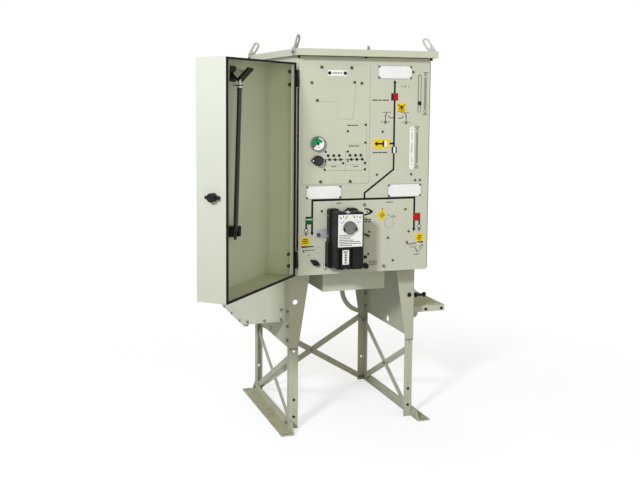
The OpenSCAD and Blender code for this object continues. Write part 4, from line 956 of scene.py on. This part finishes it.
gauge_red = printed("gauge_red", shade(150, 28, 26), 0.35)
red_wedge = [(gauge_x, gauge_z)] + arc(gauge_x, gauge_z, dial_r - 1, 205, 222, 5)
laid("gauge_red_wedge", [red_wedge], band_face, print_lift, gauge_red, "cabinet")
dial_marks = greeked(gauge_x + 2, gauge_z - 15, 14, 2.2, (2, 3))
for mark in range(8):
    turn = math.radians(222 - 30 * mark)
    inner = (gauge_x + (dial_r - 4) * math.cos(turn), gauge_z + (dial_r - 4) * math.sin(turn))
    outer = (gauge_x + (dial_r - 0.8) * math.cos(turn), gauge_z + (dial_r - 0.8) * math.sin(turn))
    dial_marks.append(stroke([inner, outer], 0.8))
laid("gauge_marks", dial_marks, band_face - print_lift * mm, 0.1, deep_grey_ink, "cabinet")
needle_turn = math.radians(118)
tip_r = 22
tail_r = 7
needle_tip = (gauge_x + tip_r * math.cos(needle_turn), gauge_z + tip_r * math.sin(needle_turn))
needle_tail = (gauge_x - tail_r * math.cos(needle_turn), gauge_z - tail_r * math.sin(needle_turn))
needle = [stroke([needle_tail, needle_tip], 3), disc(gauge_x, gauge_z, 5, 20)]
needle += [stroke(arc(gauge_x, gauge_z, dial_r - 0.6, 0, 356, 48), 1.2)]
laid("gauge_needle", needle, band_face - 0.4 * mm, 0.8, black_plastic, "cabinet")

# Selector: a black pointer knob on the cover, with a white dot at its tip, turned by hand.
# Test points: twelve black sockets in two groups of two rows, pushed into the cover.
give(black_plastic, "selector_knob", "test_sockets")
selector_low, selector_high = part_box("selector_knob")
pointer_z = (selector_low.z + selector_high.z) / 2 / mm
pointer_x = selector_low.x / mm
dot = [disc(pointer_x + 6, pointer_z, 2.8)]
laid("selector_dot", dot, selector_low.y, 0.3, white_card, "selector")
knob_middle = selector_high.x / mm - 21
cap = flat_shapes([disc(knob_middle, pointer_z, 16, 40)], selector_low.y, 1.0)
pick_faces(cap, lambda face: face.normal.y < -0.9)
bpy.ops.mesh.inset(thickness=2 * mm)
bpy.ops.transform.translate(value=(0, 0.5 * mm, 0))
bpy.ops.object.mode_set(mode="OBJECT")
dark_grey = moulded("dark_grey_plastic", shade(58, 59, 57), 0.45, 420)
fitted("selector_cap", [cap], dark_grey, "selector")

# Position slider: a black tongue that shows in the long slot at the panel's right edge.
# It is moulded plastic, and a thin printed line rules the slot's sides and its rounded top.
give(black_plastic, "indicator_slider")
line_left = 240.3
line_right = 254.2
line_low = 1389
line_high = 1544
slot_edge = [(line_left, line_low), (line_left, line_high)]
slot_edge += arc(247.2, line_high, 6.9, 160, 20, 6)
slot_edge += [(line_right, line_high), (line_right, line_low)]
laid("slider_lines", [stroke(slot_edge, 1.8)], panel_face, 0.2, deep_grey_ink, "cabinet")

# Actuator: a black moulded drive clipped over the left switch, with a white plate and a grey knob.
# The plate is printed with two wedges, marks and small print; a silver bracket steadies its side.
give(black_plastic, "actuator_housing")
plate_white = printed("plate_white", shade(248, 248, 248), 0.35)
give(plate_white, "actuator_plates")
grey_knob = moulded("grey_knob", shade(116, 119, 116), 0.42, 420)
give(grey_knob, "actuator_knob")
bracket_zinc = metal("bracket_zinc", shade(204, 206, 214), 0.45, 0.1)
give(bracket_zinc, "actuator_bracket")
drive_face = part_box("actuator_plates")[0].y
plate_low, plate_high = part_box("actuator_plates")
plate_x = (plate_low.x + plate_high.x) / 2 / mm
knob_low, knob_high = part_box("actuator_knob")
knob_x = (knob_low.x + knob_high.x) / 2 / mm
knob_z = knob_high.z / mm - 28
ear_face = knob_low.y
ear = [(20, -17), (26, -15), (31, -7), (31.5, -1), (24, 4), (23, -5)]
ears = []
for side in (-1, 1):
    ears.append([(knob_x + side * across, knob_z + rise) for across, rise in ear])
laid("drive_knob_ears", ears, ear_face, 0.4, black_plastic, "actuator_switch")
wedges = []
for way in (-1, 1):
    high_hook = [(plate_x + way * 48, 966), (plate_x + way * 42, 955), (plate_x + way * 38, 962)]
    wedges.append(stroke(high_hook, 2.6))
    wedges.append(stroke([(plate_x + way * 33, 968), (plate_x + way * 29, 960)], 3))
    low_hook = [(plate_x + way * 47, 946), (plate_x + way * 36, 937), (plate_x + way * 25, 953)]
    wedges.append(stroke(low_hook, 1.6))
laid("drive_signs", wedges, drive_face, print_lift, deep_grey_ink, "cabinet")
ticks = [stroke([(plate_x - 22, 956), (plate_x - 13, 967)], 6.5)]
ticks += [stroke([(plate_x + 20, 957), (plate_x + 12, 968)], 6.5)]
lime = printed("lime_ink", shade(172, 190, 40), 0.45)
laid("drive_ticks", ticks, drive_face, print_lift, lime, "cabinet")
small_print = []
print_left = plate_x - 49
for level, width, words in (
    (887, 40, (3, 1, 4, 2)), (880, 54, (2, 4, 3)), (873, 48, (4, 2, 3, 3)), (866, 62, (3, 3, 2, 4)),
    (859, 90, (5, 2, 4, 3)), (852, 97, (2, 4, 3, 2, 3)), (845, 56, (3, 2, 3)),
):
    small_print += greeked(print_left + width / 2, level, width, 2.8, words)
laid("drive_print", small_print, drive_face, print_lift, deep_grey_ink, "cabinet")
tag_x = plate_x - 19
tag_marks = [bar(tag_x - 9, tag_x + 9, 815, 820), bar(tag_x - 8, tag_x + 8, 770, 774)]
tag_marks += [bar(tag_x - 6, tag_x + 6, level, level + 3.4) for level in (780, 787, 794, 801, 808)]
tag_marks += [bar(tag_x - 1.5, tag_x + 1.5, 778, 812)]
laid("drive_tag_marks", tag_marks, drive_face, print_lift, deep_grey_ink, "cabinet")

# Actuator fittings: a bright spindle end in the dip on top, side screws, a clip below and a bracket nut.
# They are plated steel, screwed or sprung into the moulding.
drive_low, drive_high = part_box("actuator_housing")
spindle_place = [(((plate_x + 4) * mm, -452 * mm, drive_high.z - 15.5 * mm), (0, 0, 1))]
spindle_end = turned(15 * mm, 5 * mm, [(2 * mm, 2 * mm), (6 * mm, 1 * mm), (0.6 * mm, -2.5 * mm)], 32)
drive_fittings = set_out(spindle_end, spindle_place)
side_x = drive_low.x + 6 * mm
side_spots = [((side_x, -402 * mm, level * mm), (-1, 0, 0)) for level in (958, 872)]
drive_fittings += set_out(domed_screw(4 * mm), side_spots)
drive_fittings += [rounded_block((-187, -398, 732), (-179, -385, 753), 2)]
bright_steel = metal("bright_steel", shade(214, 214, 216), 0.25, 0.12)
fitted("drive_fittings", drive_fittings, bright_steel, "cabinet")
bracket_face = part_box("actuator_bracket")[0].y
bracket_nut = set_out(hexagon_bolt(13 * mm, 7 * mm), [((-208 * mm, bracket_face, 876 * mm), (0, -1, 0))])
fitted("bracket_nut", bracket_nut, dark_steel, "cabinet")

# Lower controls: a black wing knob at the left, a round knob, a short lever and a tab by the actuator.
# They are moulded, and sit on spindles through the panel.
give(black_plastic, "lower_wing_knob", "lower_round_knob")
lever = rounded_block((-3, -395, 864), (25, -388, 870.5), 2)
choose(lever)
lever_turn = math.radians(-24)
bpy.ops.object.mode_set(mode="EDIT")
bpy.ops.mesh.select_all(action="SELECT")
lever_pivot = (11 * mm, -392 * mm, 867 * mm)
bpy.ops.transform.rotate(value=lever_turn, orient_axis="Y", center_override=lever_pivot)
bpy.ops.object.mode_set(mode="OBJECT")
lever_boss = set_out(turned(4.5 * mm, 8 * mm, [(1 * mm, 1 * mm)], 24), on_panel([(11, 867)], panel_face))
tab_block = rounded_block((-1, -393, 766), (11, -384, 778), 2)
control_dots = set_out(domed_screw(4.5 * mm), on_panel([(23, 880), (20, 784)], panel_face))
fitted("lower_levers", [lever, tab_block] + lever_boss + control_dots, black_plastic, "cabinet")
button_low, button_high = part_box("lower_round_knob")
button_middle = ((button_low.x + button_high.x) / 2, button_low.y, (button_low.z + button_high.z) / 2)
button_cap = turned(9.5 * mm, 0.6 * mm, [(1.5 * mm, 0.5 * mm), (3 * mm, 0), (0.8 * mm, -0.6 * mm)], 28)
fitted("round_knob_cap", set_out(button_cap, [(button_middle, (0, -1, 0))]), black_plastic, "cabinet")

# The door: a deep folded pan, painted inside and out, with a black gasket round its mouth.
# Black lift-off hinges carry it on the left; their screws show inside the hinge wall. The outer faces are
# painted a duller, more neutral tone for the bleached look of their lit faces, painted light, darker towards
# the bottom.
# The door's colour is the cabinet paint made lighter and greener, to lift the shade inside the pan: painted
# light.
door_paint = painted_steel("door_paint", shade(217, 223, 200), 0.6, 0.42)
give(door_paint, "door_shell")
give(rubber, "door_gasket")
hinge_black = moulded("hinge_black", shade(22, 22, 24), 0.4, 600)
give(hinge_black, "door_hinge_leaves", "cabinet_hinge_leaves")
hinge_axis = Vector((-305 * mm, -389 * mm, 0))
door_angle = math.radians(131.7)
across_door = Vector((math.cos(door_angle), -math.sin(door_angle), 0))
out_of_door = Vector((-math.sin(door_angle), -math.cos(door_angle), 0))


def on_door(across, depth, level):
    """A point on the open door: across from the hinge, depth from the mouth, height, in millimetres."""
    foot = hinge_axis + across_door * (across * mm) + out_of_door * (depth * mm)
    return foot + Vector((0, 0, level * mm))


door_tools = door_paint.node_tree.nodes
door_links = door_paint.node_tree.links
door_colour = door_tools["Principled BSDF"].inputs["Base Color"]
door_tone = door_colour.links[0].from_socket
door_place = door_tools.new("ShaderNodeTexCoord").outputs["Object"]
door_height = door_tools.new("ShaderNodeSeparateXYZ")
door_links.new(door_place, door_height.inputs[0])
# Painted light: the outer faces get a duller, more neutral tone for their bleached lit look, darker towards
# the bottom.
lower_share = ranged(door_tools, door_links, door_height.outputs["Z"], (1.45, 0.75), (0, 1))
outer_painted_tone = layered(door_tools, door_links, lower_share, shade(201, 204, 196), shade(183, 185, 172))
for way in (across_door, out_of_door):
    reach = door_tools.new("ShaderNodeVectorMath")
    reach.operation = "DOT_PRODUCT"
    reach.inputs[1].default_value = way
    door_links.new(door_place, reach.inputs[0])
    outer = max(corner.co.dot(way) for corner in nodes["door_shell"].data.vertices)
    skin = (outer - 1.2 * mm, outer - 0.6 * mm)
    outside = ranged(door_tools, door_links, reach.outputs["Value"], skin, (0, 0.8))
    door_tone = layered(door_tools, door_links, outside, door_tone, outer_painted_tone)
door_links.new(door_tone, door_colour)
hinge_levels = (1554, 1502, 799, 750)
hinge_spots = [(on_door(12.6, 27, level), across_door) for level in hinge_levels]
hinge_screws = set_out(hexagon_bolt(12 * mm, 8 * mm), hinge_spots, 13)
fitted("hinge_screws", hinge_screws, dark_steel, "door")
# Black rubber strips along the panel's side edges; partly they are painted shade for the dark gaps there.
left_trim_and_shade = rounded_block((-299.5, -384, 812), (-295.2, -370, 1490), 1.2)
right_trim_and_shade = rounded_block((295.2, -384, 712), (297.6, -370, 1606), 0.8)
fitted("panel_side_trims_and_shade", [left_trim_and_shade, right_trim_and_shade], rubber, "cabinet")

# Door latch: a black winged knob on the free side wall, turned a quarter to lock.
# It is moulded plastic on a spindle that passes through the wall.
give(black_plastic, "latch_knob")

# Operating handle: a black sleeved steel rod kept inside the door in two black clips.
# Its collar and neck are bright plated steel, the square socket head is grey cast steel, and a
# sprung wire loop round the neck keeps it in the upper clip.
handle_finish, tools, links, shader, place = new_finish("operating_handle")
height = tools.new("ShaderNodeSeparateXYZ")
links.new(place, height.inputs[0])
sleeve_end = (1.484, 1.485)
neck_end = (1.506, 1.508)
bright = ranged(tools, links, height.outputs["Z"], sleeve_end, (0, 1))
cast = ranged(tools, links, height.outputs["Z"], neck_end, (0, 1))
mottle = cloudy(tools, links, place, 140, 4)
sleeve = layered(tools, links, mottle, shade(14, 14, 15), shade(26, 26, 27))
neck = layered(tools, links, bright, sleeve, shade(188, 188, 186))
head = layered(tools, links, cast, neck, shade(196, 196, 190))
links.new(head, shader.inputs["Base Color"])
plated = ranged(tools, links, bright, (0, 1), (0, 0.9))
bare = ranged(tools, links, cast, (0, 1), (1, 0.35))
links.new(product(tools, links, plated, bare), shader.inputs["Metallic"])
links.new(ranged(tools, links, mottle, (0.3, 0.7), (0.26, 0.42)), shader.inputs["Roughness"])
handle_normal = soft_edges(tools, links, 0.0015)[0]
grained(tools, links, shader, cloudy(tools, links, place, 800, 2), handle_normal, 0.1, 0.0003)
give(handle_finish, "operating_handle")
give(black_plastic, "handle_clips")
ring_place = on_door(330, 93.5, 1494)
bpy.ops.object.select_all(action="DESELECT")
bpy.ops.mesh.primitive_torus_add(
    location=ring_place, major_radius=11 * mm, minor_radius=2.3 * mm, major_segments=32, minor_segments=8
)
ring = bpy.context.object
bpy.ops.object.transform_apply(location=True, rotation=True, scale=True)
bpy.ops.object.mode_set(mode="EDIT")
bpy.ops.mesh.select_mode(type="VERT")
bpy.ops.mesh.select_all(action="DESELECT")
bpy.ops.object.mode_set(mode="OBJECT")
for corner in ring.data.vertices:
    corner.select = (corner.co - ring_place).dot(across_door) > 0
bpy.ops.object.mode_set(mode="EDIT")
bpy.ops.transform.translate(value=across_door * (26 * mm))
bpy.ops.object.mode_set(mode="OBJECT")
fitted("handle_wire_loop", [ring], dark_steel, "door")
